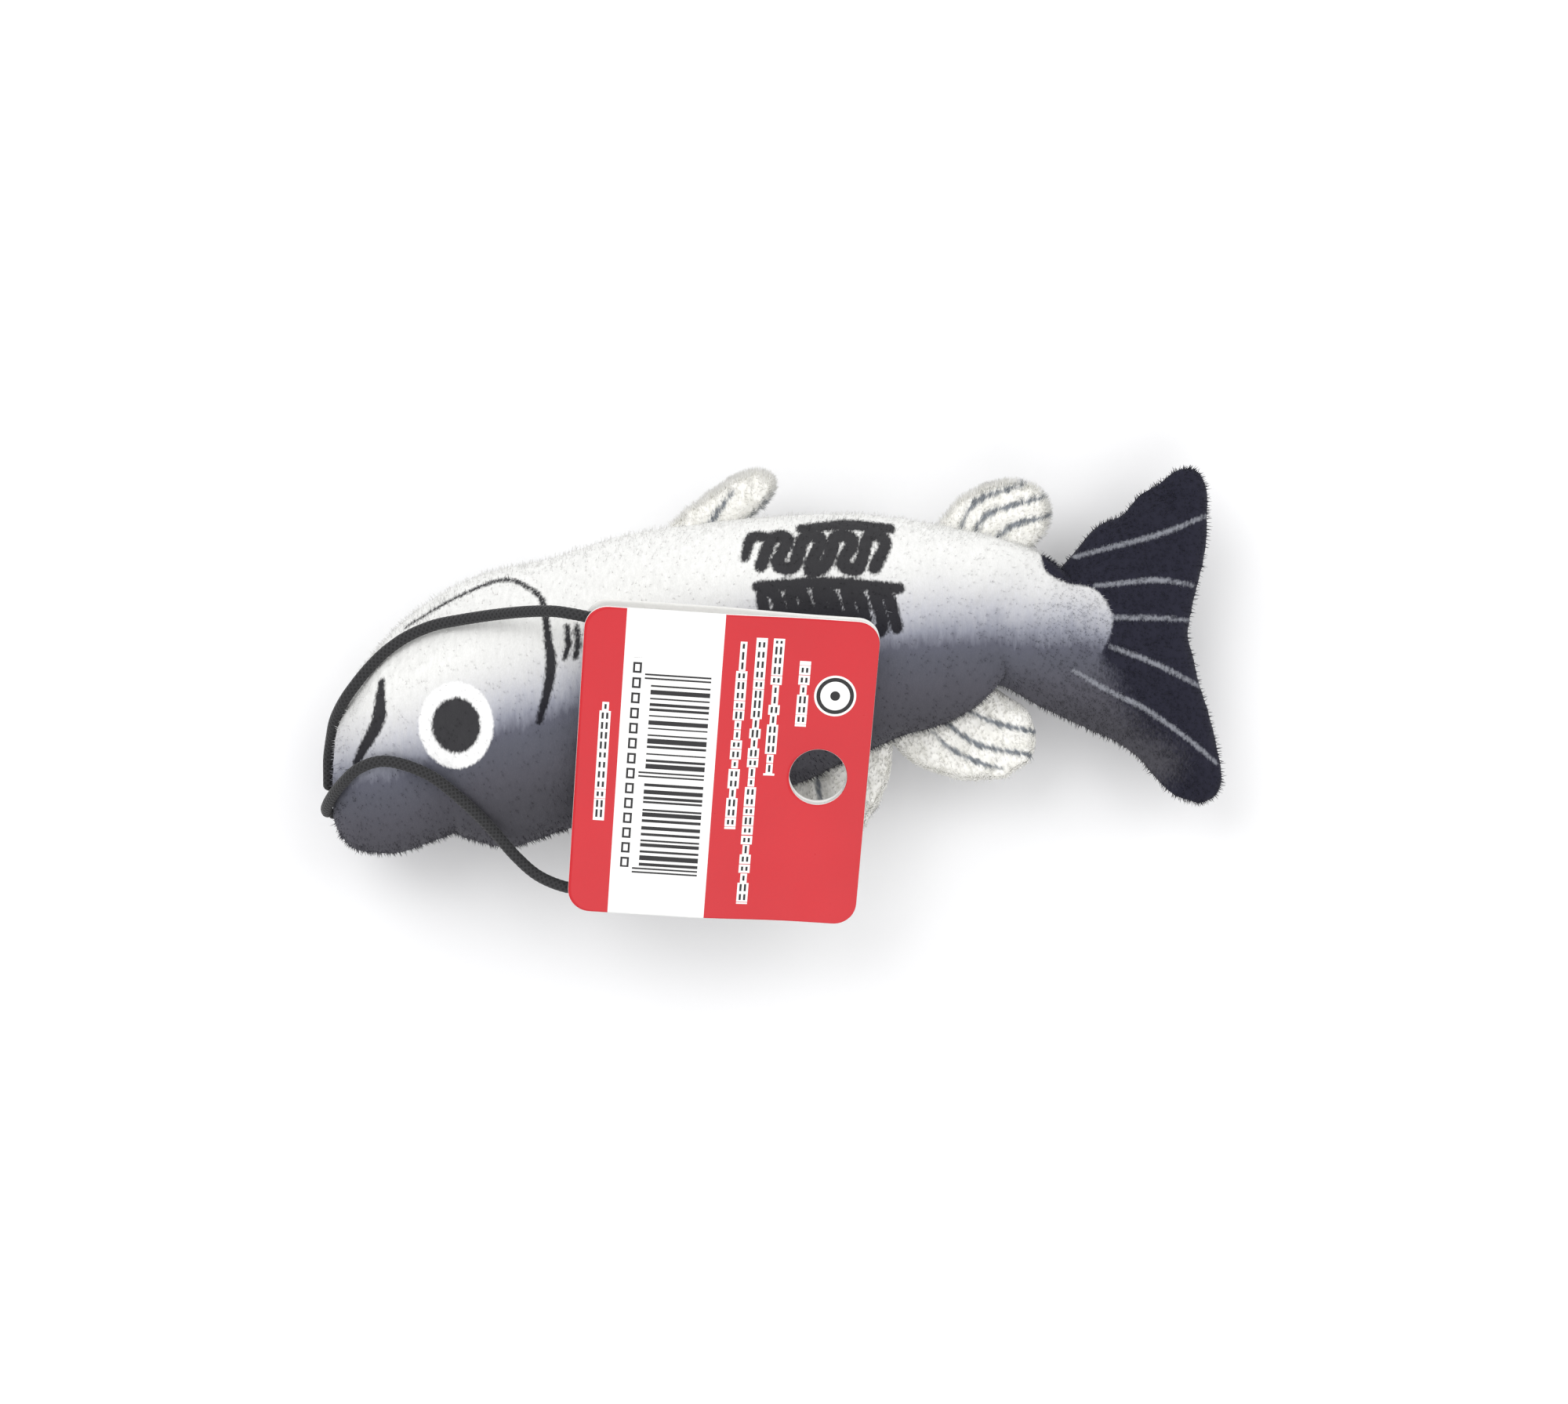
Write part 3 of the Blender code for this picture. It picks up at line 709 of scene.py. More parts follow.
class Side:
    """One side of a flat pattern, read by the share of the way along it."""

    def __init__(self, curve: Array, key: int | None = None) -> None:
        """Take a sampled curve; key 0 or 1 spaces it by x or y, None by its length.

        Args:
            curve: its points, one a row.
            key: 0 or 1 spaces it by x or y, None by its length.
        """
        self.curve = curve
        if key is None:
            share = np.concatenate([[0.0], np.cumsum(np.linalg.norm(np.diff(curve, axis=0), axis=1))])
        else:
            share = curve[:, key] - curve[0, key]
        self.share = share / share[-1]

    def at(self, share: Array) -> Array:
        """Give the points at these shares."""
        return np.stack([np.interp(share, self.share, self.curve[:, k]) for k in (0, 1)], -1)


@dataclass
class Pattern:
    """A four-sided flat pattern; low and high both run from start to end."""

    low: Side
    high: Side
    start: Side
    end: Side

    def at(self, s: Array, v: Array) -> Array:
        """Fill the pattern between its sides (a Coons patch).

        The two ruled sheets between opposite sides are summed, and the sheet through the four corners is
        taken away once.

        Args:
            s: shares along.
            v: shares across, in the same shape.

        Returns:
            The plan points.
        """
        s1, v1 = s[..., None], v[..., None]
        ruled = (1 - v1) * self.low.at(s) + v1 * self.high.at(s) + (1 - s1) * self.start.at(v)
        ruled = ruled + s1 * self.end.at(v)
        zero, one = np.zeros_like(s), np.ones_like(s)
        corners = (1 - v1) * ((1 - s1) * self.low.at(zero) + s1 * self.low.at(one))
        return ruled - corners - v1 * ((1 - s1) * self.high.at(zero) + s1 * self.high.at(one))


def stroke_distance(x: Array, y: Array, points: Sequence[Point], half: Sequence[float]) -> Array:
    """Distance to the edge of a brush stroke: to its nearest segment, less the half width there.

    Args:
        x: plan places, in mm.
        y: plan places, in mm.
        points: the stroke's own points in mm, drawn as a smooth curve.
        half: its half width at its start, middle and end.

    Returns:
        The distances in mm, negative on the stroke.
    """
    line = through(points, steps=5) if len(points) > 2 else np.asarray(points, float)
    spread = np.linspace(0.0, 1.0, len(line))
    widths = np.interp(spread, np.linspace(0.0, 1.0, len(half)), half)
    best = np.full(x.shape, 9.0)  # beyond the reach of any printed edge
    for a, b, wa, wb in zip(line[:-1], line[1:], widths[:-1], widths[1:]):
        along = b - a
        t = np.clip(((x - a[0]) * along[0] + (y - a[1]) * along[1]) / max(along @ along, 1e-12), 0, 1)
        gap = np.hypot(x - a[0] - t * along[0], y - a[1] - t * along[1]) - (wa + (wb - wa) * t)
        best = np.minimum(best, gap)
    return best


def waves(points: Array, size: float, seed: int, count: int = 26) -> Array:
    """Soft random relief: the mean of many plane waves in random directions, at about one wavelength.

    Args:
        points: places, with their three coordinates last.
        size: the wavelength in metres.
        seed: makes the relief repeatable.
        count: how many waves.

    Returns:
        A height at each place, about -1 to 1.
    """
    rng = np.random.default_rng(seed)
    heading = rng.normal(size=(count, 3))
    heading /= np.linalg.norm(heading, axis=1, keepdims=True)
    pace = 2 * math.pi / (size * rng.uniform(0.75, 1.35, count))
    turn = rng.uniform(0, 2 * math.pi, count)
    total = np.zeros(points.shape[:-1])
    for h, k, p in zip(heading, pace, turn):
        total += np.sin(points @ (h * k) + p)
    return total / math.sqrt(count / 2) / 1.6


def grid_faces(index: Array, closed: bool = False) -> Array:
    """List the quads of a grid of vertex numbers.

    Args:
        index: vertex numbers, row by row.
        closed: whether the columns wrap round.

    Returns:
        Four vertex numbers for each face.
    """
    if closed:
        index = np.hstack([index, index[:, :1]])
    a, b, c, d = index[:-1, :-1], index[1:, :-1], index[1:, 1:], index[:-1, 1:]
    return np.stack([a, b, c, d], -1).reshape(-1, 4)


def add_mesh(name: str, points: Array, faces: Array) -> bpy.types.Object:
    """Put points and faces into a new mesh object at the origin, shaded smooth.

    Args:
        name: the piece's name.
        points: its vertices.
        faces: vertex numbers, as many for each face.

    Returns:
        The object.
    """
    mesh = bpy.data.meshes.new(name)
    corners = faces.shape[1]
    mesh.vertices.add(len(points))
    mesh.vertices.foreach_set("co", points.astype(np.float32).ravel())
    mesh.loops.add(faces.size)
    mesh.loops.foreach_set("vertex_index", faces.astype(np.int32).ravel())
    mesh.polygons.add(len(faces))
    mesh.polygons.foreach_set("loop_start", np.arange(0, faces.size, corners, dtype=np.int32))
    mesh.update(calc_edges=True)
    mesh.validate()
    mesh.polygons.foreach_set("use_smooth", np.full(len(faces), True))
    obj = bpy.data.objects.new(name, mesh)
    bpy.context.collection.objects.link(obj)
    return obj


def carry(obj: bpy.types.Object, marks: dict[str, Array]) -> None:
    """Store numbers or vectors on a mesh's vertices, by name.

    Args:
        obj: the piece.
        marks: the values by name, one number or vector for each vertex.
    """
    for name, values in marks.items():
        kind = "FLOAT" if values.ndim == 1 else "FLOAT_VECTOR"
        layer = obj.data.attributes.new(name, kind, "POINT")
        layer.data.foreach_set("value" if kind == "FLOAT" else "vector", values.astype(np.float32).ravel())


def wear(obj: bpy.types.Object, finish: bpy.types.Material) -> None:
    """Give an object one finish.

    Args:
        obj: the piece, which it also reports.
        finish: its material.
    """
    obj.data.materials.clear()
    obj.data.materials.append(finish)
    LOG.info("%s: %d vertices, %s", obj.name, len(obj.data.vertices), finish.name)


def pillow(name: str, plan: Array, half: Array, seam: float, floor: float | None = None) -> bpy.types.Object:
    """Make a closed pillow of two faces that meet at a border: height = seam plus or minus half.

    Args:
        name: the piece's name.
        plan: plan points on a grid.
        half: the height of each face off the seam plane, zero at the border.
        seam: the seam plane's height.
        floor: the surface it rests on, below which its rear is flattened.

    Returns:
        The closed mesh object.
    """
    rows, columns = half.shape
    upper = np.dstack([plan, seam + half])
    low = seam - half
    if floor is not None:
        ease = 0.25 * MM  # how softly it turns onto the floor
        low = floor + 0.5 * (low - floor + np.sqrt((low - floor) ** 2 + ease ** 2))
        low = np.minimum(low, seam - half * 0.3)
    lower = np.dstack([plan, low])
    front = np.arange(rows * columns).reshape(rows, columns)
    rear = front.copy()
    rear[1:-1, 1:-1] = rows * columns + np.arange((rows - 2) * (columns - 2)).reshape(rows - 2, columns - 2)
    points = np.vstack([upper.reshape(-1, 3), lower[1:-1, 1:-1].reshape(-1, 3)])
    faces = np.vstack([grid_faces(front), grid_faces(rear)[:, ::-1]])
    return add_mesh(name, points, faces)


def ruffle(obj: bpy.types.Object, layers: Sequence[tuple[float, float, int]], floor: float = 0.0,
           swell: float = 0.0, share: Union[Array, float] = 1.0) -> None:
    """Move vertices along their normals by soft random relief.

    Args:
        obj: the piece.
        layers: wavelength, height and seed of each layer.
        floor: no vertex goes below this height.
        swell: how far the whole surface moves out.
        share: each vertex's share of the move.
    """
    points, normals = vertices(obj)
    relief = sum(h * waves(points, size, seed) for size, h, seed in layers)
    moved = points + normals * ((relief + swell) * share)[:, None]
    moved[:, 2] = np.maximum(moved[:, 2], floor)
    obj.data.vertices.foreach_set("co", moved.astype(np.float32).ravel())
    obj.data.update()


def vertices(obj: bpy.types.Object) -> tuple[Array, Array]:
    """Give a mesh's vertex places and normals.

    Args:
        obj: the piece.

    Returns:
        The places and the normals, one a row.
    """
    count = len(obj.data.vertices)
    points, normals = np.empty(count * 3, np.float32), np.empty(count * 3, np.float32)
    obj.data.vertices.foreach_get("co", points)
    obj.data.vertex_normals.foreach_get("vector", normals)
    return points.reshape(-1, 3).astype(float), normals.reshape(-1, 3).astype(float)


@dataclass(frozen=True)
class Tufts:
    """Locks of pile that stand out of a plush skin: slim closed spikes of four faces."""

    count: int
    length: float
    width: float
    nap: tuple[float, float, float]  # the way the pile is brushed
    seed: int = 5
    upright: float = 0.8  # how strongly they stand along the normal
    wild: float = 0.3  # how far they lean at random
    sunk: float = 0.25  # how deep their base lies under the skin, as a share of their length

    def grow(self, name: str, skin: bpy.types.Object, chance: Callable[[Array, Array], Array]) -> tuple[
            bpy.types.Object, Array]:
        """Grow tufts from a skin.

        Each spike has three base corners round its root, a little under the skin, and a tip along the
        normal leant by the nap and a random turn.

        Args:
            name: the new piece's name.
            skin: the piece they grow from.
            chance: gives each vertex's weight, from places and normals.

        Returns:
            The tufts, and the root that each of their vertices belongs to.
        """
        rng = np.random.default_rng(self.seed)
        points, normals = vertices(skin)
        weight = chance(points, normals)
        keys = rng.random(len(points)) ** (1.0 / np.maximum(weight, 1e-9))
        picked = np.argsort(keys)[-self.count:]
        root, normal = points[picked], normals[picked]
        lean = normal * self.upright + np.array(self.nap) + rng.normal(0.0, self.wild, root.shape)
        lean /= np.linalg.norm(lean, axis=1, keepdims=True)
        size = (self.length * rng.uniform(0.6, 1.25, len(root)))[:, None]
        side = np.cross(lean, normal + rng.normal(0.0, 0.2, root.shape))
        side /= np.linalg.norm(side, axis=1, keepdims=True)
        other = np.cross(lean, side)
        base = root - normal * (self.sunk * self.length)
        turns = np.radians([90.0, 210.0, 330.0])
        corners = [base + self.width / 2 * (math.cos(a) * side + math.sin(a) * other) for a in turns]
        shape = np.stack([*corners, root + lean * size], 1)
        shape[..., 2] = np.maximum(shape[..., 2], 0.0)
        number = np.arange(len(root))[:, None] * 4
        faces = np.concatenate([number + np.array(f) for f in ((0, 2, 1), (0, 1, 3), (1, 2, 3), (2, 0, 3))])
        obj = add_mesh(name, shape.reshape(-1, 3), faces)
        bpy.context.view_layer.update()
        return obj, np.repeat(root, 4, axis=0)


# ---------------------------------------------------------------- the fish


@dataclass
class StuffedFish:
    """The stuffed body and tail: one printed pile skin sewn round its outline."""

    length: float = 138.6 * MM
    height: float = 59.6 * MM
    seam: float = 13.0 * MM
    head: float = 12.5 * MM  # half thickness at the cheeks
    trunk: float = 15.5 * MM
    wrist: float = 6.4 * MM
    blade: float = 3.3 * MM
    snout_round: float = 9.0 * MM
    hem_round: float = 2.5 * MM
    rows: int = 430
    columns: int = 112
    lump: float = 0.26 * MM  # unevenness of the filling
    pile: float = 0.05 * MM  # unevenness of the pile
    swell: float = 0.55 * MM  # how far the pile stands out past the seam
    groove: float = 1.3 * MM  # half the width of the groove along the seam
    section: Point = (2.2, 2.8)  # the section's power over the body, and how much more at the tail
    flatter: Point = (0.72, 0.2)  # where the section starts to flatten, and over what share of the length
    flex: Point = (4.5, 5.5)  # how far the bend reaches either side of the flex line, in mm
    tufts: Tufts = Tufts(20000, 0.85 * MM, 0.2 * MM, (0.45, -0.1, 0.0))
    frays: tuple[float, float, float] = (0.16, 1.2, 0.8)  # tufts on the flanks, the outline and the tail
    flattened: float = 0.02  # share of the tufts that stand where it rests
    belly: list[Point] = field(default_factory=lambda: [
        (0.031, -0.042), (0.054, 0.025), (0.079, 0.087), (0.130, 0.176), (0.186, 0.230), (0.245, 0.259),
        (0.314, 0.307), (0.365, 0.332), (0.467, 0.359), (0.558, 0.371), (0.623, 0.363), (0.712, 0.330),
        (0.780, 0.280), (0.819, 0.220), (0.843, 0.288), (0.865, 0.346), (0.892, 0.378), (0.910, 0.427),
        (0.933, 0.459), (0.952, 0.492), (0.968, 0.500)])
    back: list[Point] = field(default_factory=lambda: [
        (0.006, -0.459), (0.016, -0.481), (0.030, -0.500), (0.066, -0.500), (0.110, -0.469), (0.135, -0.452),
        (0.151, -0.471), (0.191, -0.496), (0.222, -0.479), (0.262, -0.446), (0.330, -0.417), (0.418, -0.382),
        (0.514, -0.328), (0.571, -0.268), (0.627, -0.210), (0.677, -0.172), (0.712, -0.127), (0.741, -0.050),
        (0.773, -0.089), (0.804, -0.129), (0.848, -0.176), (0.882, -0.210), (0.910, -0.257), (0.927, -0.305),
        (0.947, -0.353), (0.968, -0.373), (0.981, -0.380)])
    snout: list[Point] = field(default_factory=lambda: [
        (0.006, -0.459), (0.001, -0.421), (0.000, -0.369), (0.001, -0.276), (0.003, -0.214), (0.008, -0.151),
        (0.017, -0.089), (0.031, -0.042)])
    fork: list[Point] = field(default_factory=lambda: [
        (0.981, -0.380), (0.995, -0.359), (1.000, -0.320), (0.995, -0.249), (0.985, -0.129), (0.974, -0.050),
        (0.963, 0.046), (0.963, 0.093), (0.968, 0.149), (0.979, 0.268), (0.985, 0.419), (0.979, 0.480),
        (0.968, 0.500)])
    belly_notch: float = 0.819
    back_notch: float = 0.741

    def __post_init__(self) -> None:
        """Work out the outline and the flex line between the tail's two notches."""
        self.belly_curve = self.scaled(self.belly, self.belly_notch)
        self.back_curve = self.scaled(self.back, self.back_notch)
        self.pattern = Pattern(Side(self.back_curve, 0), Side(self.belly_curve, 0),
                               Side(self.scaled(self.snout), 1), Side(self.scaled(self.fork), 1))
        low = self.edge(self.back_curve, self.back_notch)
        high = self.edge(self.belly_curve, self.belly_notch)
        self.pivot = (low + high) / 2
        axis = (high - low) / np.linalg.norm(high - low)
        self.tailward = np.array([axis[1], -axis[0]])

    def scaled(self, points: Sequence[Point], corner: float | None = None) -> Array:
        """Bring shares of the length and height to metres, round the middle of the fish."""
        pts = through(points, () if corner is None else (corner,))
        return np.stack([(pts[:, 0] - 0.5) * self.length, pts[:, 1] * self.height], -1)

    def edge(self, curve: Array, station: float) -> Array:
        """Give the point of an edge at a share of the length."""
        x = (station - 0.5) * self.length
        return np.array([x, np.interp(x, curve[:, 0], curve[:, 1])])

    def half_thickness(self, s: Array, v: Array) -> Array:
        """Half the stuffed thickness.

        A smooth profile along the fish, times a superellipse across it that is flatter at the tail, times a
        quarter ellipse at the snout and at the hem of the tail.

        Args:
            s: shares along the fish.
            v: shares across it.

        Returns:
            The half thickness in metres.
        """
        stations = [
            (0.0, 0.86 * self.head), (0.10, self.head), (0.24, 0.5 * (self.head + self.trunk)),
            (0.42, self.trunk), (0.56, self.trunk), (0.70, 0.5 * (self.trunk + self.wrist) + 1.2 * MM),
            (0.80, self.wrist), (0.88, 0.5 * (self.wrist + self.blade)), (0.95, self.blade),
            (1.0, self.blade)]
        smooth = through(stations)
        along = np.interp(s, smooth[:, 0], smooth[:, 1])
        (base, more), (start, over) = self.section, self.flatter
        power = base + more * np.clip((s - start) / over, 0.0, 1.0)
        across = np.sqrt(np.clip(1.0 - np.abs(2 * v - 1) ** power, 0.0, 1.0))
        snout = np.clip(s * self.length / self.snout_round, 0.0, 1.0)
        hem = np.clip((1 - s) * self.length / self.hem_round, 0.0, 1.0)
        return along * across * np.sqrt(1 - (1 - snout) ** 2) * np.sqrt(1 - (1 - hem) ** 2)

    def build(self) -> None:
        """Make the skin, its print and its tufts."""
        s, v = np.meshgrid(crowded(self.rows, 0.35), crowded(self.columns, 0.8), indexing="ij")
        skin = pillow("stuffed_pile_skin", self.pattern.at(s, v), self.half_thickness(s, v), self.seam, 0.0)
        off_seam = np.clip(np.abs(vertices(skin)[0][:, 2] - self.seam) / self.groove, 0.0, 1.0)
        ruffle(skin, [(19 * MM, self.lump, 3), (7 * MM, self.lump * 0.35, 4), (1.6 * MM, self.pile, 7),
                      (0.9 * MM, self.pile * 0.6, 8)], 0.02 * MM, self.swell, 0.05 + 0.95 * np.sqrt(off_seam))
        tufts, roots = self.tufts.grow("pile_tufts", skin, self.fray)
        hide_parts("body_front_panel", "body_rear_panel", "tail_front_panel", "tail_rear_panel")
        marks, finish = FishPrint(), PrintedPile().make()
        for piece, places in ((skin, vertices(skin)[0]), (tufts, roots)):
            # crease holds the distance from the seam plane in mm; the pile reads it to darken near the seam as
            # painted shade
            carry(piece, {**marks.at(places), "crease": np.abs(places[:, 2] - self.seam) / MM})
            wear(piece, finish)
            self.bend(piece)

    def fray(self, points: Array, normals: Array) -> Array:
        """Weigh where tufts stand: thick on the tail and round the outline, thin on the flanks.

        Args:
            points: places on the skin.
            normals: its normals there.

        Returns:
            A weight at each place.
        """
        rim = np.clip(1 - np.abs(normals[:, 2]) * 1.4, 0.0, 1.0)
        tail = np.clip((points[:, 0] - self.pivot[0]) / (12 * MM), 0.0, 1.0)
        resting = np.where(points[:, 2] < 1.0 * MM, self.flattened, 1.0)
        on_flank, on_rim, on_tail = self.frays
        return (on_flank + on_rim * rim + on_tail * tail) * resting

    def bend(self, piece: bpy.types.Object) -> None:
        """Bake a piece's place into its mesh.

        Args:
            piece: the skin or its tufts.
        """
        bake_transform(piece)


@dataclass
class FishPrint:
    """The print on both flanks. Places are in mm in the plan of the fish."""

    eye: Point = (-49.1, -10.4)
    pupil: Point = (3.75, 4.25)
    ring: Point = (5.75, 6.65)
    mouth: list[Point] = field(default_factory=lambda: [
        (-60.8, -3.7), (-60.9, -6.7), (-61.0, -9.2), (-62.1, -11.7), (-63.8, -14.3), (-64.8, -16.3)])
    gill: list[Point] = field(default_factory=lambda: [
        (-57.8, 4.7), (-50.5, 9.0), (-42.9, 12.1), (-38.3, 10.7), (-36.0, 8.3), (-35.0, 2.7), (-34.5, -1.0),
        (-35.2, -5.6), (-36.3, -9.8)])
    ticks: tuple[float, float, float] = (-32.4, -30.9, -29.3)  # the x of short strokes behind the gill
    rays: list[list[Point]] = field(default_factory=lambda: [
        [(46.6, 15.9), (59.7, 19.4), (67.0, 22.3)], [(49.4, 11.2), (59.1, 12.2), (65.0, 11.4)],
        [(52.2, 6.3), (58.0, 6.3), (64.5, 6.0)], [(51.8, 1.8), (59.1, -0.9), (66.0, -4.4)],
        [(46.0, -2.0), (52.5, -5.6), (57.3, -7.9), (63.5, -12.2), (68.6, -16.4)]])
    pale_end: list[Point] = field(default_factory=lambda: [
        (20.0, 24.0), (39.0, 24.0), (41.3, 14.5), (43.4, 12.4), (45.8, 11.5), (48.9, 10.9), (50.7, 9.4),
        (51.8, 7.5), (52.3, 6.1), (51.5, 2.9), (50.4, 0.6), (50.2, -2.6), (52.0, -7.0), (55.5, -12.0),
        (59.0, -18.0), (20.0, -22.0)])
    dusk: list[Point] = field(default_factory=lambda: [
        (-70.0, -18.5), (-60.0, -16.8), (-55.0, -15.0), (-50.0, -12.7), (-42.0, -9.5), (-36.0, -8.0),
        (-20.0, -2.3), (0.0, 2.0), (25.0, 3.9), (37.0, 4.2), (52.0, 3.2), (70.0, 0.0)])

    tail_from: float = 38.0  # no tail print nearer the snout than this
    running: Point = (1.0, 3.0)  # below which y the back runs into the tail, and over how much
    blurred: Point = (9.0, 0.15)  # how much softer the tail's edge is there, and how far it draws back

    def strokes(self) -> list[tuple[list[Point], tuple[float, ...]]]:
        """List the dark strokes with their half widths: mouth, gill cover and plain pen scribbles.

        Returns:
            Each stroke's points and half widths, in mm.
        """
        drawn = [
            (self.mouth, (0.5, 1.1, 0.95, 0.6)), (self.gill, (0.2, 0.3, 0.48, 0.85, 0.55)),
            self.scribble((-3.6, 12.4), (21.2, 7.4), 8, 1.7, 1.06),
            ([(3.6, 19.9), (10.5, 20.5), (17.4, 20.0)], (0.8, 1.0, 0.9)),
            ([(-5.0, 15.2), (-4.0, 18.4), (-1.2, 18.6)], (0.7, 1.0, 0.8)),
            self.scribble((-3.4, 2.8), (22.6, 8.2), 10, -1.3, 1.0),
            ([(-3.0, 10.7), (7.0, 11.3), (18.6, 10.5)], (0.9, 1.0, 0.9)),
            ([(-2.4, 6.3), (4.0, 7.1), (11.0, 6.2)], (0.8, 0.9, 0.7))]
        return drawn + [([(x, -0.2), (x + 0.5, 2.2), (x + 0.2, 4.8)], (0.4, 0.55, 0.4)) for x in self.ticks]

    @staticmethod
    def scribble(corner: Point, size: Point, strokes: int, slant: float, half: float) -> tuple[
            list[Point], tuple[float, ...]]:
        """A pen line to and fro across a patch, with round turns.

        Args:
            corner: the patch's low corner nearest the snout.
            size: its length and height.
            strokes: how many times it crosses the patch.
            slant: how far each stroke's top lies towards the tail of its foot.
            half: half the pen's width.

        Returns:
            The stroke.
        """
        first = corner[0] + half + max(-slant, 0.0)
        points = []
        for k, x in enumerate(np.linspace(first, corner[0] + size[0] - half - max(slant, 0.0), strokes)):
            foot = (x, corner[1] + half + 0.5 + 0.5 * math.sin(1.7 * k))
            top = (x + slant, corner[1] + size[1] - half - 0.5 - 0.5 * math.sin(2.9 * k))
            points += [top, foot] if k % 2 else [foot, top]
        return points, (half, 1.1 * half, half)

    def at(self, points: Array) -> dict[str, Array]:
        """Work out the print at points.

        Args:
            points: places in metres.

        Returns:
            How far below the dusk line each is, and its distances to the tail's dark print, the pale rays,
            the eye's ring and the ink, all in mm and negative inside, except that tail is positive inside.
        """
        x, y = points[:, 0] / MM, points[:, 1] / MM
        line = through(self.dusk)
        shade = np.interp(x, line[:, 0], line[:, 1]) - y
        ring, pupil = (
            (np.hypot((x - self.eye[0]) / size[0], (y - self.eye[1]) / size[1]) - 1) * size[0]
            for size in (self.ring, self.pupil))
        ink = np.minimum.reduce([pupil] + [stroke_distance(x, y, p, w) for p, w in self.strokes()])
        ray = np.minimum.reduce([stroke_distance(x, y, p, (0.3, 0.38, 0.26)) for p in self.rays])
        return {"shade": shade, "eye": ring, "ink": ink, "ray": ray, "tail": self.tail(x, y)}

    def tail(self, x: Array, y: Array) -> Array:
        """Distance out of the pale print into the tail's dark one, softened where the back runs into it.

        Args:
            x: plan places, in mm.
            y: plan places, in mm.

        Returns:
            The distances in mm, positive in the dark print.
        """
        outline = through(self.pale_end, steps=4)
        edge = stroke_distance(x, y, [tuple(p) for p in outline], (0.0, 0.0))
        inside = np.zeros(x.shape, bool)
        for (xa, ya), (xb, yb) in zip(outline, np.roll(outline, -1, axis=0)):
            crosses = (ya > y) != (yb > y)
            inside ^= crosses & (x < (xb - xa) * (y - ya) / np.where(yb == ya, 1e-9, yb - ya) + xa)
        far = np.where(inside | (x < self.tail_from), -edge, edge)
        soft = np.clip((self.running[0] - y) / self.running[1], 0.0, 1.0)
        return far / (1.0 + soft * self.blurred[0]) - soft * self.blurred[1]


# ---------------------------------------------------------------- fins


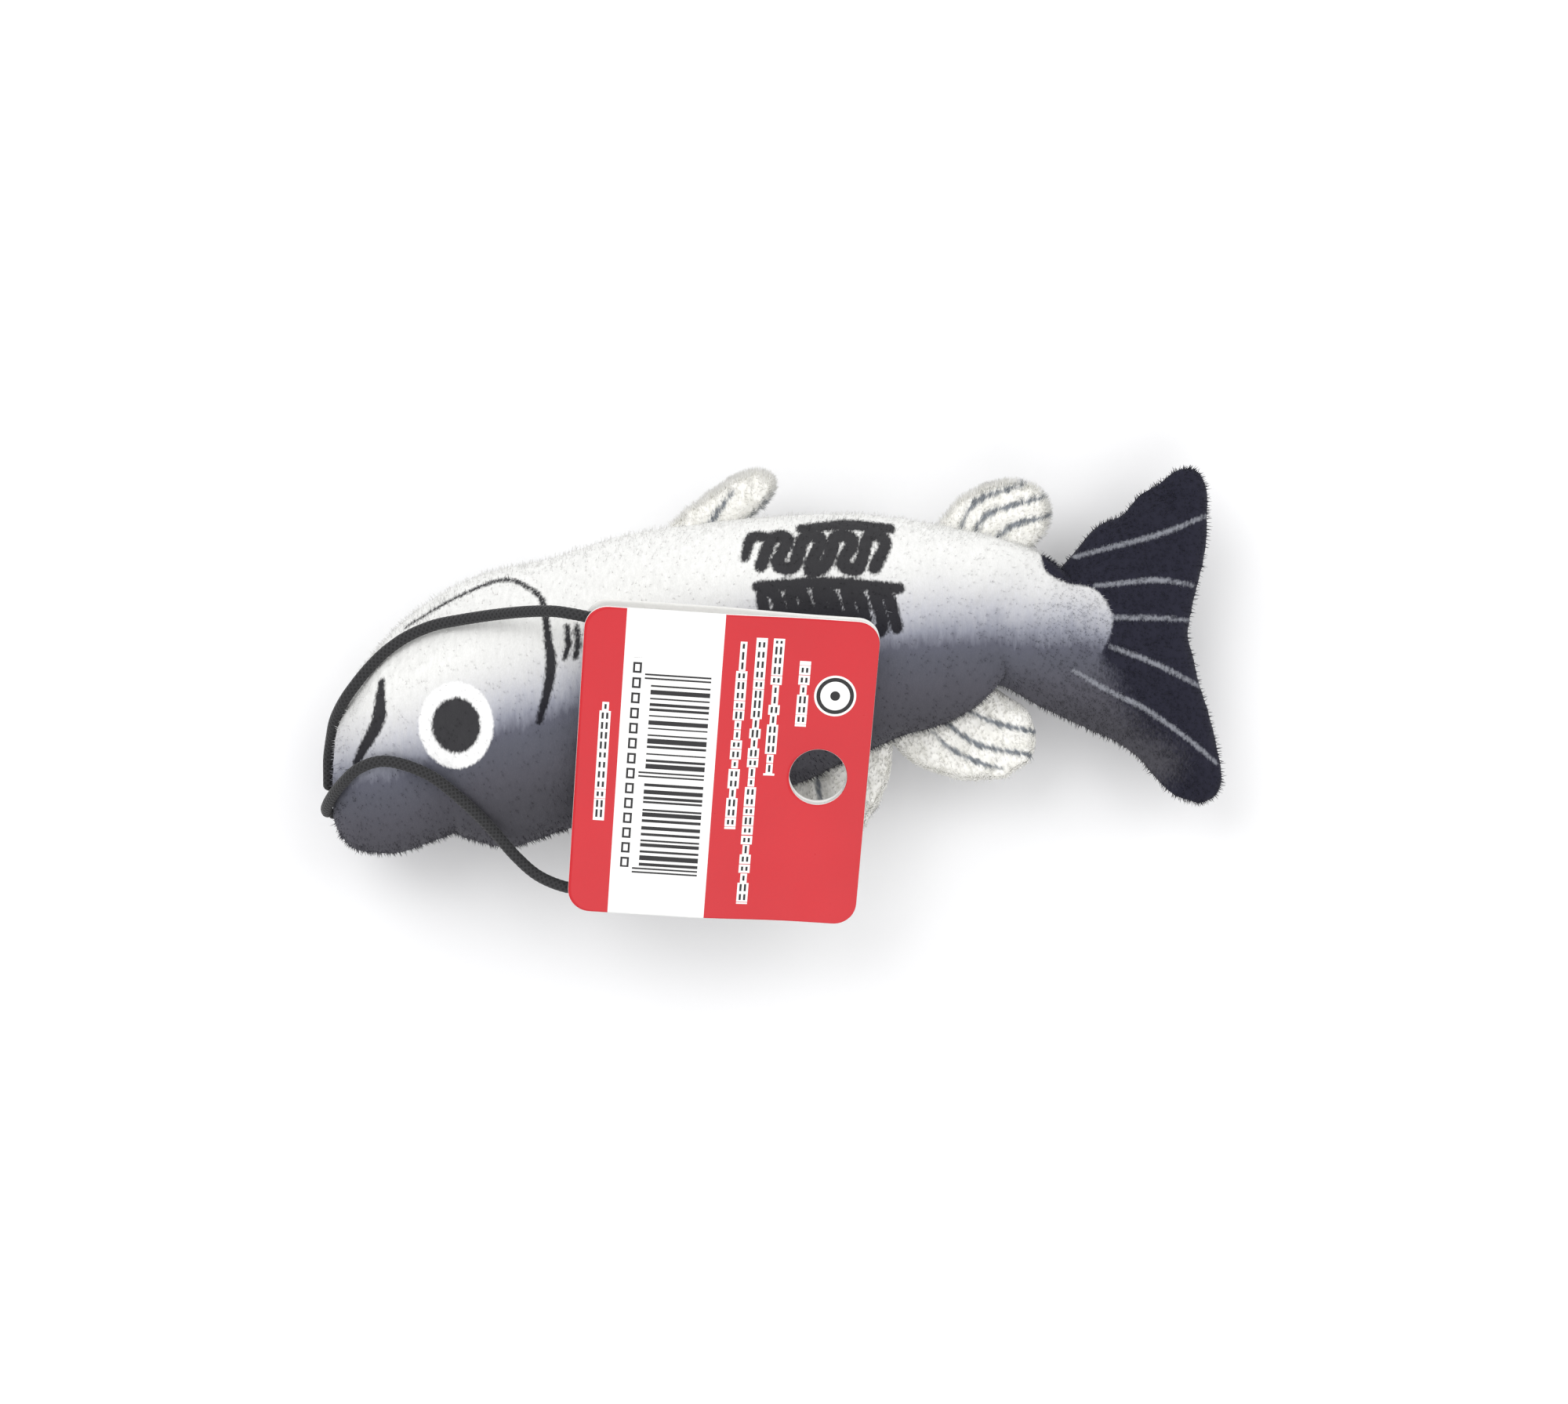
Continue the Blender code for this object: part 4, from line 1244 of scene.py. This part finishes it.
@dataclass
class SewnFin:
    """A soft cream fin sewn into the fish's seam."""

    body: str
    on_back: bool  # on the back's edge, not the belly's
    root: Point  # the root's two stations along the fish
    front: Point  # the front tip along the root and out from it
    rear: Point
    rays: list[list[Point]]  # in mm in the plan
    tuck: float = 2.2 * MM  # how far the root goes in behind the seam
    gap: float = 0.6 * MM
    half: float = 2.0 * MM
    bows: tuple[float, float, float] = (0.08, 0.06, 0.13)  # of the leading, trailing and tip edges
    corner: Point = (0.24, 0.17)  # how far the tip's corners are drawn together and down
    section: Point = (3.2, 3.6)  # the dome's powers along and across
    dimple: Point = (0.22, 0.7)  # a ray's depth as a share of the thickness, and its width in mm
    ray_half: tuple[float, float, float] = (0.2, 0.4, 0.25)
    tufts: int = 5200
    nap: float = 0.75  # how strongly the pile is brushed outwards
    flex: Point = (1.8, 1.6)  # how far the bend reaches either side of the root, in mm
    rows: int = 96
    columns: int = 96

    @staticmethod
    def bowed(start: Array, end: Array, out: Array, bow: float) -> Array:
        """Points from start to end on a parabola that bows to the side that out points to."""
        t = np.linspace(0.0, 1.0, 12)[:, None]
        return start + (end - start) * t + out * bow * 4 * t * (1 - t)

    def shape(self, fish: StuffedFish) -> tuple[Pattern, Array, Array]:
        """Work out the fin's pattern.

        Args:
            fish: the fish it is sewn to.

        Returns:
            The pattern, the middle of its root and the direction out of the body.
        """
        curve, side = (fish.back_curve, -1) if self.on_back else (fish.belly_curve, 1)
        seam = np.array([fish.edge(curve, s) for s in np.linspace(*self.root, 9)])
        slope = np.gradient(seam, axis=0)
        normal = np.stack([-slope[:, 1], slope[:, 0]], -1) * side
        normal /= np.linalg.norm(normal, axis=1, keepdims=True)
        outer, inner = seam + normal * self.gap, seam - normal * self.tuck
        chord = (outer[-1] - outer[0]) / np.linalg.norm(outer[-1] - outer[0])
        out = np.array([-chord[1], chord[0]]) * side
        front = outer[0] + chord * self.front[0] + out * self.front[1]
        rear = outer[-1] + chord * self.rear[0] + out * self.rear[1]
        leading, trailing, tipping = self.bows
        lead = self.bowed(outer[0], front, out * 0.6 - chord * 0.8, leading * self.front[1])
        trail = self.bowed(outer[-1], rear, chord, trailing * self.rear[1])
        tip = self.bowed(front, rear, out, tipping * np.linalg.norm(rear - front))
        lead, trail = np.vstack([inner[:1], lead]), np.vstack([inner[-1:], trail])
        return Pattern(Side(inner), Side(tip), Side(lead), Side(trail)), (outer[0] + outer[-1]) / 2, out

    def build(self, fish: StuffedFish, finish: bpy.types.Material) -> None:
        """Make the fin and its tufts.

        Args:
            fish: the fish it is sewn to.
            finish: the fin's pile.
        """
        pattern, middle, out = self.shape(fish)
        s, v = np.meshgrid(crowded(self.rows, 0.6), crowded(self.columns, 0.6), indexing="ij")
        together, down = self.corner
        plan = pattern.at(0.5 + (s - 0.5) * (1 - together * v ** 4), v * (1 - down * np.abs(2 * s - 1) ** 3))
        along, across = self.section
        dome = np.clip(1 - np.abs(2 * s - 1) ** along, 0, 1) * np.clip(1 - np.abs(2 * v - 1) ** across, 0, 1)
        ray = self.ray(plan[..., 0] / MM, plan[..., 1] / MM)
        depth, width = self.dimple
        half = self.half * np.sqrt(dome) * (1 - depth * np.exp(-(np.maximum(ray, 0) / width) ** 2))
        skin = pillow(self.body + "_pile_skin", plan, half, fish.seam)
        ruffle(skin, [(5 * MM, 0.2 * MM, 11), (1.9 * MM, 0.06 * MM, 12), (0.9 * MM, 0.02 * MM, 13)])
        nap = (self.nap * out[0], self.nap * out[1], 0.0)
        tufts, roots = Tufts(self.tufts, 1.15 * MM, 0.19 * MM, nap, 17).grow(
            self.body + "_pile_tufts", skin, lambda p, n: 0.12 + np.clip(1 - np.abs(n[:, 2]) * 1.3, 0, 1))
        for piece, places in ((skin, vertices(skin)[0]), (tufts, roots)):
            reach = places[:, :2] - middle
            comb = np.stack([reach @ out, reach @ np.array([-out[1], out[0]]), places[:, 2]], -1) / MM
            carry(piece, {"ray": self.ray(places[:, 0] / MM, places[:, 1] / MM), "comb": comb})
            wear(piece, finish)
        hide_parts(self.body + "_front_cloth", self.body + "_rear_cloth")
        start, end = middle - out * self.flex[0] * MM, middle + out * self.flex[1] * MM
        for piece in (skin, tufts):
            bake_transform(piece)

    def ray(self, x: Array, y: Array) -> Array:
        """Distance in mm to the fin's nearest ray."""
        return np.minimum.reduce([stroke_distance(x, y, p, self.ray_half) for p in self.rays])


# ---------------------------------------------------------------- elastic loop


@dataclass
class ElasticLoop:
    """Braided round elastic, out of the snout seam, in between the tag's plies and back."""

    diameter: float = 1.8 * MM
    rings: int = 900
    around: int = 22
    strands: int = 6
    pitch: float = 2.4 * MM  # along the cord for one turn of a strand
    weave: Point = (0.975, 0.025)  # the surface's mean and its swing over the braid, as shares of the radius
    upward: tuple[float, float, float] = (0.05, 0.02, 1.0)  # a direction that the cord never runs along
    stub_rings: int = 40
    stub_start: float = -64.8 * MM  # the x at which the stubs start, inside the snout
    route: list[tuple[float, float, float]] = field(default_factory=lambda: [
        (-70.7, -20.8, 13.0), (-70.7, -18.3, 13.1), (-70.6, -15.6, 13.6), (-70.0, -12.6, 15.0),
        (-69.0, -9.6, 17.6), (-67.1, -6.6, 20.5), (-64.9, -3.8, 21.9), (-62.7, -1.3, 22.6),
        (-60.1, 1.1, 23.2), (-56.8, 3.3, 23.7), (-52.8, 4.9, 24.5), (-48.6, 5.7, 25.8),
        (-43.4, 6.4, 27.9), (-38.2, 6.8, 30.9), (-34.0, 6.8, 33.6), (-31.0, 6.4, 34.9),
        (-28.4, 5.9, 34.8), (-23.7, 5.0, 34.3), (-18.8, 2.5, 33.4), (-14.8, -1.5, 32.1),
        (-12.3, -6.8, 30.5), (-11.3, -12.7, 28.8), (-11.8, -19.0, 27.0), (-13.9, -25.0, 25.4),
        (-17.4, -30.3, 24.0), (-22.2, -34.1, 23.1), (-27.3, -35.8, 22.8), (-32.3, -35.4, 23.1),
        (-36.7, -33.7, 22.9), (-40.1, -30.9, 22.6), (-43.0, -27.6, 22.8), (-45.9, -24.4, 23.8),
        (-49.2, -21.2, 25.0), (-52.7, -18.4, 25.7), (-56.6, -16.6, 26.2), (-60.5, -15.9, 26.2),
        (-64.1, -17.0, 25.1), (-66.8, -19.1, 22.8), (-69.1, -21.4, 19.4), (-70.6, -23.4, 15.8),
        (-70.8, -24.4, 13.0)])

    def tube(self, name: str, path: Array, rings: int) -> bpy.types.Object:
        """Carry a braided round profile along a path.

        Each ring is a circle across the path whose radius rises where two sets of helical strands pass
        over, and the two ends close as domes.

        Args:
            name: the piece's name.
            path: the points that it follows.
            rings: how many rings it has.

        Returns:
            The closed tube, which carries its turn and its length as an attribute.
        """
        steps = np.linalg.norm(np.diff(path, axis=0), axis=1)
        lengths = np.concatenate([[0.0], np.cumsum(steps)])
        along = np.linspace(0.0, lengths[-1], rings)
        centre = np.stack([np.interp(along, lengths, path[:, k]) for k in range(3)], -1)
        ahead = np.gradient(centre, axis=0)
        ahead /= np.linalg.norm(ahead, axis=1, keepdims=True)
        side = np.cross(ahead, np.array(self.upward))
        side /= np.linalg.norm(side, axis=1, keepdims=True)
        up = np.cross(side, ahead)
        turn = np.linspace(0.0, 2 * math.pi, self.around, endpoint=False)
        twist = along[:, None] / self.pitch * 2 * math.pi * (self.strands / 2)
        weave = np.maximum(np.cos(self.strands * turn + twist), np.cos(self.strands * turn - twist))
        radius = self.diameter / 2 * (self.weave[0] + self.weave[1] * weave)
        close = np.minimum(along, lengths[-1] - along) / (self.diameter / 2)
        radius *= np.sqrt(1 - (1 - np.clip(close, 0.02, 1.0)) ** 2)[:, None]
        spokes = np.cos(turn)[None, :, None] * side[:, None] + np.sin(turn)[None, :, None] * up[:, None]
        points = centre[:, None] + radius[..., None] * spokes
        index = np.arange(rings * self.around).reshape(rings, self.around)
        ends = rings * self.around + np.array([0, 1])
        faces = grid_faces(index, closed=True)
        caps = np.vstack([self.cap(index[0], ends[0]), self.cap(index[-1][::-1], ends[1])])
        obj = add_mesh(name, np.vstack([points.reshape(-1, 3), centre[:1], centre[-1:]]),
                       np.vstack([faces[:, [0, 1, 2]], faces[:, [0, 2, 3]], caps]))
        lay = np.stack(np.broadcast_arrays(turn, along[:, None] / MM, 0.0), -1).reshape(-1, 3)
        carry(obj, {"lay": np.vstack([lay, lay[:1], lay[-1:]])})
        face_outwards(obj)
        return obj

    @staticmethod
    def cap(ring: Array, tip: int) -> Array:
        """Close a ring to one vertex."""
        return np.stack([ring, np.roll(ring, -1), np.full(len(ring), tip)], -1)

    def build(self, with_pieces: Sequence[bpy.types.Object]) -> None:
        """Make the loop and the two short stubs that hold it in the snout seam.

        Args:
            with_pieces: the pieces that lie on it; not used.
        """
        finish = BraidedElastic().make()
        path = through(np.array(self.route) * MM, steps=10)
        loop = self.tube("braided_loop", path, self.rings)
        wear(loop, finish)
        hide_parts("elastic_loop")
        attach(loop, "loop")
        for name, end in (("loop_root_upper", path[0]), ("loop_root_lower", path[-1])):
            inside = np.array([self.stub_start, end[1] - 0.2 * MM, end[2]])
            stub = self.tube(name, through([inside, (inside + end) / 2, end]), self.stub_rings)
            wear(stub, finish)
            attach(stub, "fish")


def face_outwards(obj: bpy.types.Object) -> None:
    """Turn a closed mesh's faces outwards if its signed volume is negative.

    Args:
        obj: the piece.
    """
    mesh = obj.data
    mesh.calc_loop_triangles()
    corners = np.empty(len(mesh.loop_triangles) * 3, np.int32)
    mesh.loop_triangles.foreach_get("vertices", corners)
    points, _ = vertices(obj)
    a, b, c = (points[corners.reshape(-1, 3)[:, k]] for k in range(3))
    if np.einsum("ij,ij->", a, np.cross(b, c)) < 0:
        mesh.flip_normals()


# ---------------------------------------------------------------- hang tag


class Ply(Enum):
    """The tag's two plies of card."""

    FRONT = "front"
    BACK = "back"


@dataclass
class HangTag:
    """Two plies of card, apart where the elastic passes and pressed together towards the tail."""

    width: float = 44.5 * MM
    height: float = 48.4 * MM
    corner: float = 3.4 * MM
    card: float = 0.5 * MM
    space: float = 2.4 * MM
    tilt: float = 16.0
    lean: float = 2.0
    turn: float = -4.5
    hole: float = 8.8 * MM
    hole_place: Point = (14.65 * MM, -0.6 * MM)
    closed_gap: float = 0.12 * MM  # between the plies where they are pressed together
    shift: Point = (0.0, 0.35 * MM)  # how far the back ply is out of line
    pressed: Point = (-4.0 * MM, 17.0 * MM)  # where the plies start to close, and over how much
    curl: float = 0.10 * MM
    soft: float = 0.07 * MM  # how far the cut edges are rounded in
    bevel: Point = (0.84, 0.16)  # heights of a cut edge's two rings, as shares of the card
    around: int = 320
    steps: int = 46

    def frame(self) -> Matrix:
        """Give the tag's place: its tilt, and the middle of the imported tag's box.

        Returns:
            The turn and move from the tag's own plan.
        """
        turn = Matrix.Identity(4)
        for angle, axis in ((self.tilt, "X"), (self.lean, "Y"), (self.turn, "Z")):
            turn = turn @ Matrix.Rotation(math.radians(angle), 4, axis)
        corners = [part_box(n) for n in ("tag_front_card", "tag_back_card")]
        middle = sum((low + high for low, high in corners), Vector()) / 4
        return Matrix.Translation(middle) @ turn

    def outline(self) -> Array:
        """Give evenly spaced points round the card, from its right side: straight with round corners.

        Returns:
            The points, one a row.
        """
        half = np.array([self.width / 2, self.height / 2]) - self.corner
        points = []
        for quarter, (sx, sy) in enumerate(((1, 1), (-1, 1), (-1, -1), (1, -1))):
            angle = np.radians(np.linspace(90 * quarter, 90 * quarter + 90, 13))
            points.append(np.stack([sx * half[0] + self.corner * np.cos(angle),
                                    sy * half[1] + self.corner * np.sin(angle)], -1))
        ring = np.vstack(points + [points[0][:1]])
        lengths = np.concatenate([[0.0], np.cumsum(np.linalg.norm(np.diff(ring, axis=0), axis=1))])
        even = np.linspace(0.0, lengths[-1], self.around, endpoint=False)
        return np.stack([np.interp(even, lengths, ring[:, k]) for k in (0, 1)], -1)

    def lift(self, x: Array, y: Array) -> Array:
        """Height of a ply's inner face: half the space, easing to the closed gap, with a slight curl.

        Args:
            x: plan places.
            y: plan places.

        Returns:
            The heights in metres.
        """
        start, over = self.pressed
        t = np.clip((x - start) / over, 0.0, 1.0)
        ease = t * t * (3 - 2 * t)
        gap = self.space / 2 * (1 - ease) + self.closed_gap / 2 * ease
        return gap + self.curl * np.cos(y / self.height * 2.4)

    def ply(self, which: Ply) -> bpy.types.Object:
        """Make one ply.

        A card is a ring of profiles from its hang hole to its outline and back: the outer face, a softened
        cut edge, the inner face and the hole's wall.

        Args:
            which: the front or the back ply.

        Returns:
            The closed mesh, which carries its own plan in mm and 1 on its printed face.
        """
        outer = self.outline()
        middle = np.array(self.hole_place)
        spoke = outer - middle
        rim = middle + spoke / np.linalg.norm(spoke, axis=1, keepdims=True) * self.hole / 2
        out = crowded(self.steps, 0.3)
        inset = np.zeros(self.steps)
        inset[[0, -1]] = self.soft
        shares = np.concatenate([out, [1.0, 1.0], out[::-1], [0.0, 0.0]])
        insets = np.concatenate([inset, [0.0, 0.0], inset, [0.0, 0.0]])
        heights = np.concatenate([np.ones(self.steps), self.bevel, np.zeros(self.steps), self.bevel[::-1]])
        flags = np.concatenate([np.ones(self.steps), [0.0, 0.0], -np.ones(self.steps), [0.0, 0.0]])
        reach = np.linalg.norm(outer - rim, axis=1)[:, None]
        t = shares[None, :] + np.where(shares[None, :] > 0.5, -1, 1) * insets[None, :] / reach
        plan = rim[:, None] * (1 - t[..., None]) + outer[:, None] * t[..., None]
        z = self.lift(plan[..., 0], plan[..., 1]) + heights[None, :] * self.card
        sign = 1 if which is Ply.FRONT else -1
        local = np.dstack([plan + (np.array(self.shift) if which is Ply.BACK else 0.0), sign * z])
        turn = np.array(self.frame())
        points = local.reshape(-1, 3) @ turn[:3, :3].T + turn[:3, 3]
        index = np.arange(points.shape[0]).reshape(plan.shape[:2])
        index = np.vstack([index, index[:1]])
        obj = add_mesh(f"printed_{which.value}_ply", points, grid_faces(index, closed=True))
        card = np.dstack([plan / MM, np.broadcast_to(flags, plan.shape[:2])]).reshape(-1, 3)
        carry(obj, {"card": card})
        face_outwards(obj)
        return obj

    def build(self) -> list[bpy.types.Object]:
        """Make and dress both plies, and give them with the glue between them.

        Returns:
            The two plies and the glue, which lie on the loop.
        """
        finishes = {Ply.FRONT: TagPrint().make(), Ply.BACK: BackBoard().make()}
        pieces = []
        for which, finish in finishes.items():
            obj = self.ply(which)
            wear(obj, finish)
            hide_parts(f"tag_{which.value}_card")
            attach(obj, "loop")
            pieces.append(obj)
        return [*pieces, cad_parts["tag_glue_patch"]]


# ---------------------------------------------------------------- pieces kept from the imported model


@dataclass
class HiddenPieces:
    """The filling, threads, knot and glue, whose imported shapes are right."""

    fins: tuple[str, ...] = ("pelvic_fin", "anal_fin", "dorsal_fin", "adipose_fin")
    dark_thread: str = "3A3A44"
    knot_colour: str = "232325"

    def build(self) -> None:
        """Dress them."""
        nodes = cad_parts
        pale, matched = SpunThread().make(), SpunThread(back=self.dark_thread).make()
        fibre = LooseFibre().make()
        for name in self.fins:
            wear(nodes[name + "_seam_thread"], pale)
        for name in ("body", "tail"):
            wear(nodes[name + "_seam_thread"], matched)
        for name in ("body_stuffing", "tail_stuffing"):
            wear(nodes[name], fibre)
        wear(nodes["loop_knot"], SpunThread(self.knot_colour, self.knot_colour).make())
        wear(nodes["tag_glue_patch"], DriedGlue().make())


# ---------------------------------------------------------------- studio


@dataclass
class Studio:
    """A pale table, soft light from all round and a camera straight above."""

    camera: tuple[float, float, float] = (0.99 * MM, -6.85 * MM, 463.0 * MM)
    lens: float = 65.6
    lamps: tuple[tuple[tuple[float, float, float], float, float], ...] = (
        ((-0.28, 0.30, 0.55), 0.42, 1.35), ((0.35, 0.22, 0.50), 0.42, 0.8), ((0.05, -0.42, 0.45), 0.45, 0.7))
    sky: float = 0.74
    table: float = 1.2  # from its middle to its edges
    drop: float = 0.05 * MM  # how far the table lies below the fish
    sensor: float = 36.0
    near: float = 0.01

    def build(self) -> None:
        """Make the table, the lights and the camera."""
        even = np.linspace(-self.table, self.table, 9)
        x, y = np.meshgrid(even, even, indexing="ij")
        points = np.stack([x, y, np.full(x.shape, -self.drop)], -1).reshape(-1, 3)
        floor = add_mesh("pale_table", points, grid_faces(np.arange(x.size).reshape(x.shape)))
        wear(floor, PaleFloor().make())
        for number, (place, size, power) in enumerate(self.lamps):
            lamp = bpy.data.lights.new(f"softbox_{number}", "AREA")
            lamp.size, lamp.energy = size, power
            holder = bpy.data.objects.new(lamp.name, lamp)
            holder.location = place
            holder.rotation_euler = Vector(place).to_track_quat("Z", "Y").to_euler()
            holder.visible_camera = False
            bpy.context.collection.objects.link(holder)
        world = bpy.data.worlds.new("soft_room")
        world.use_nodes = True
        ground = world.node_tree.nodes["Background"]
        ground.inputs["Color"].default_value = (1.0, 1.0, 1.0, 1.0)
        ground.inputs["Strength"].default_value = self.sky
        bpy.context.scene.world = world
        bpy.context.scene.view_settings.view_transform = "Standard"
        view = bpy.data.cameras.new("overhead")
        view.lens, view.sensor_width, view.clip_start = self.lens, self.sensor, self.near
        holder = bpy.data.objects.new("overhead", view)
        holder.location = self.camera
        bpy.context.collection.objects.link(holder)
        bpy.context.scene.camera = holder


def main() -> None:
    """Build the charm piece by piece."""
    logging.basicConfig(level=logging.INFO, format="%(name)s: %(message)s")
    Studio().build()
    ElasticLoop().build(HangTag().build())
    fish = StuffedFish()
    fish.build()
    pile = FinPile().make()
    fins = (
        SewnFin("pelvic_fin", False, (0.381, 0.466), (11.7 * MM, 6.9 * MM), (6.6 * MM, 4.6 * MM),
                [[(-11.6, 19.6), (-10.4, 21.4), (-7.0, 26.2)], [(-5.6, 20.2), (-4.3, 21.7), (-0.8, 25.8)]]),
        SewnFin("anal_fin", False, (0.684, 0.781), (4.8 * MM, 8.6 * MM), (3.8 * MM, 7.0 * MM),
                [[(28.6, 19.6), (31.0, 24.4), (38.6, 27.2)], [(30.6, 18.4), (33.0, 22.6), (41.6, 25.2)],
                 [(33.4, 17.4), (36.8, 20.8), (43.8, 22.4)]]),
        SewnFin("dorsal_fin", True, (0.494, 0.627), (2.1 * MM, 9.4 * MM), (-5.5 * MM, 9.1 * MM),
                [[(6.0, -17.0), (6.6, -21.0), (7.0, -26.0)], [(12.0, -15.0), (12.6, -19.0), (12.0, -24.5)]]),
        SewnFin("adipose_fin", True, (0.628, 0.735), (5.4 * MM, 11.0 * MM), (5.8 * MM, 11.2 * MM),
                [[(28.0, -7.4), (34.5, -10.2), (42.6, -12.0)], [(25.6, -9.4), (31.5, -13.5), (41.0, -15.4)],
                 [(24.2, -11.4), (28.4, -15.0), (35.0, -17.4)]]),
    )
    for fin in fins:
        fin.build(fish, pile)
    HiddenPieces().build()


if __name__ == "__main__":
    main()
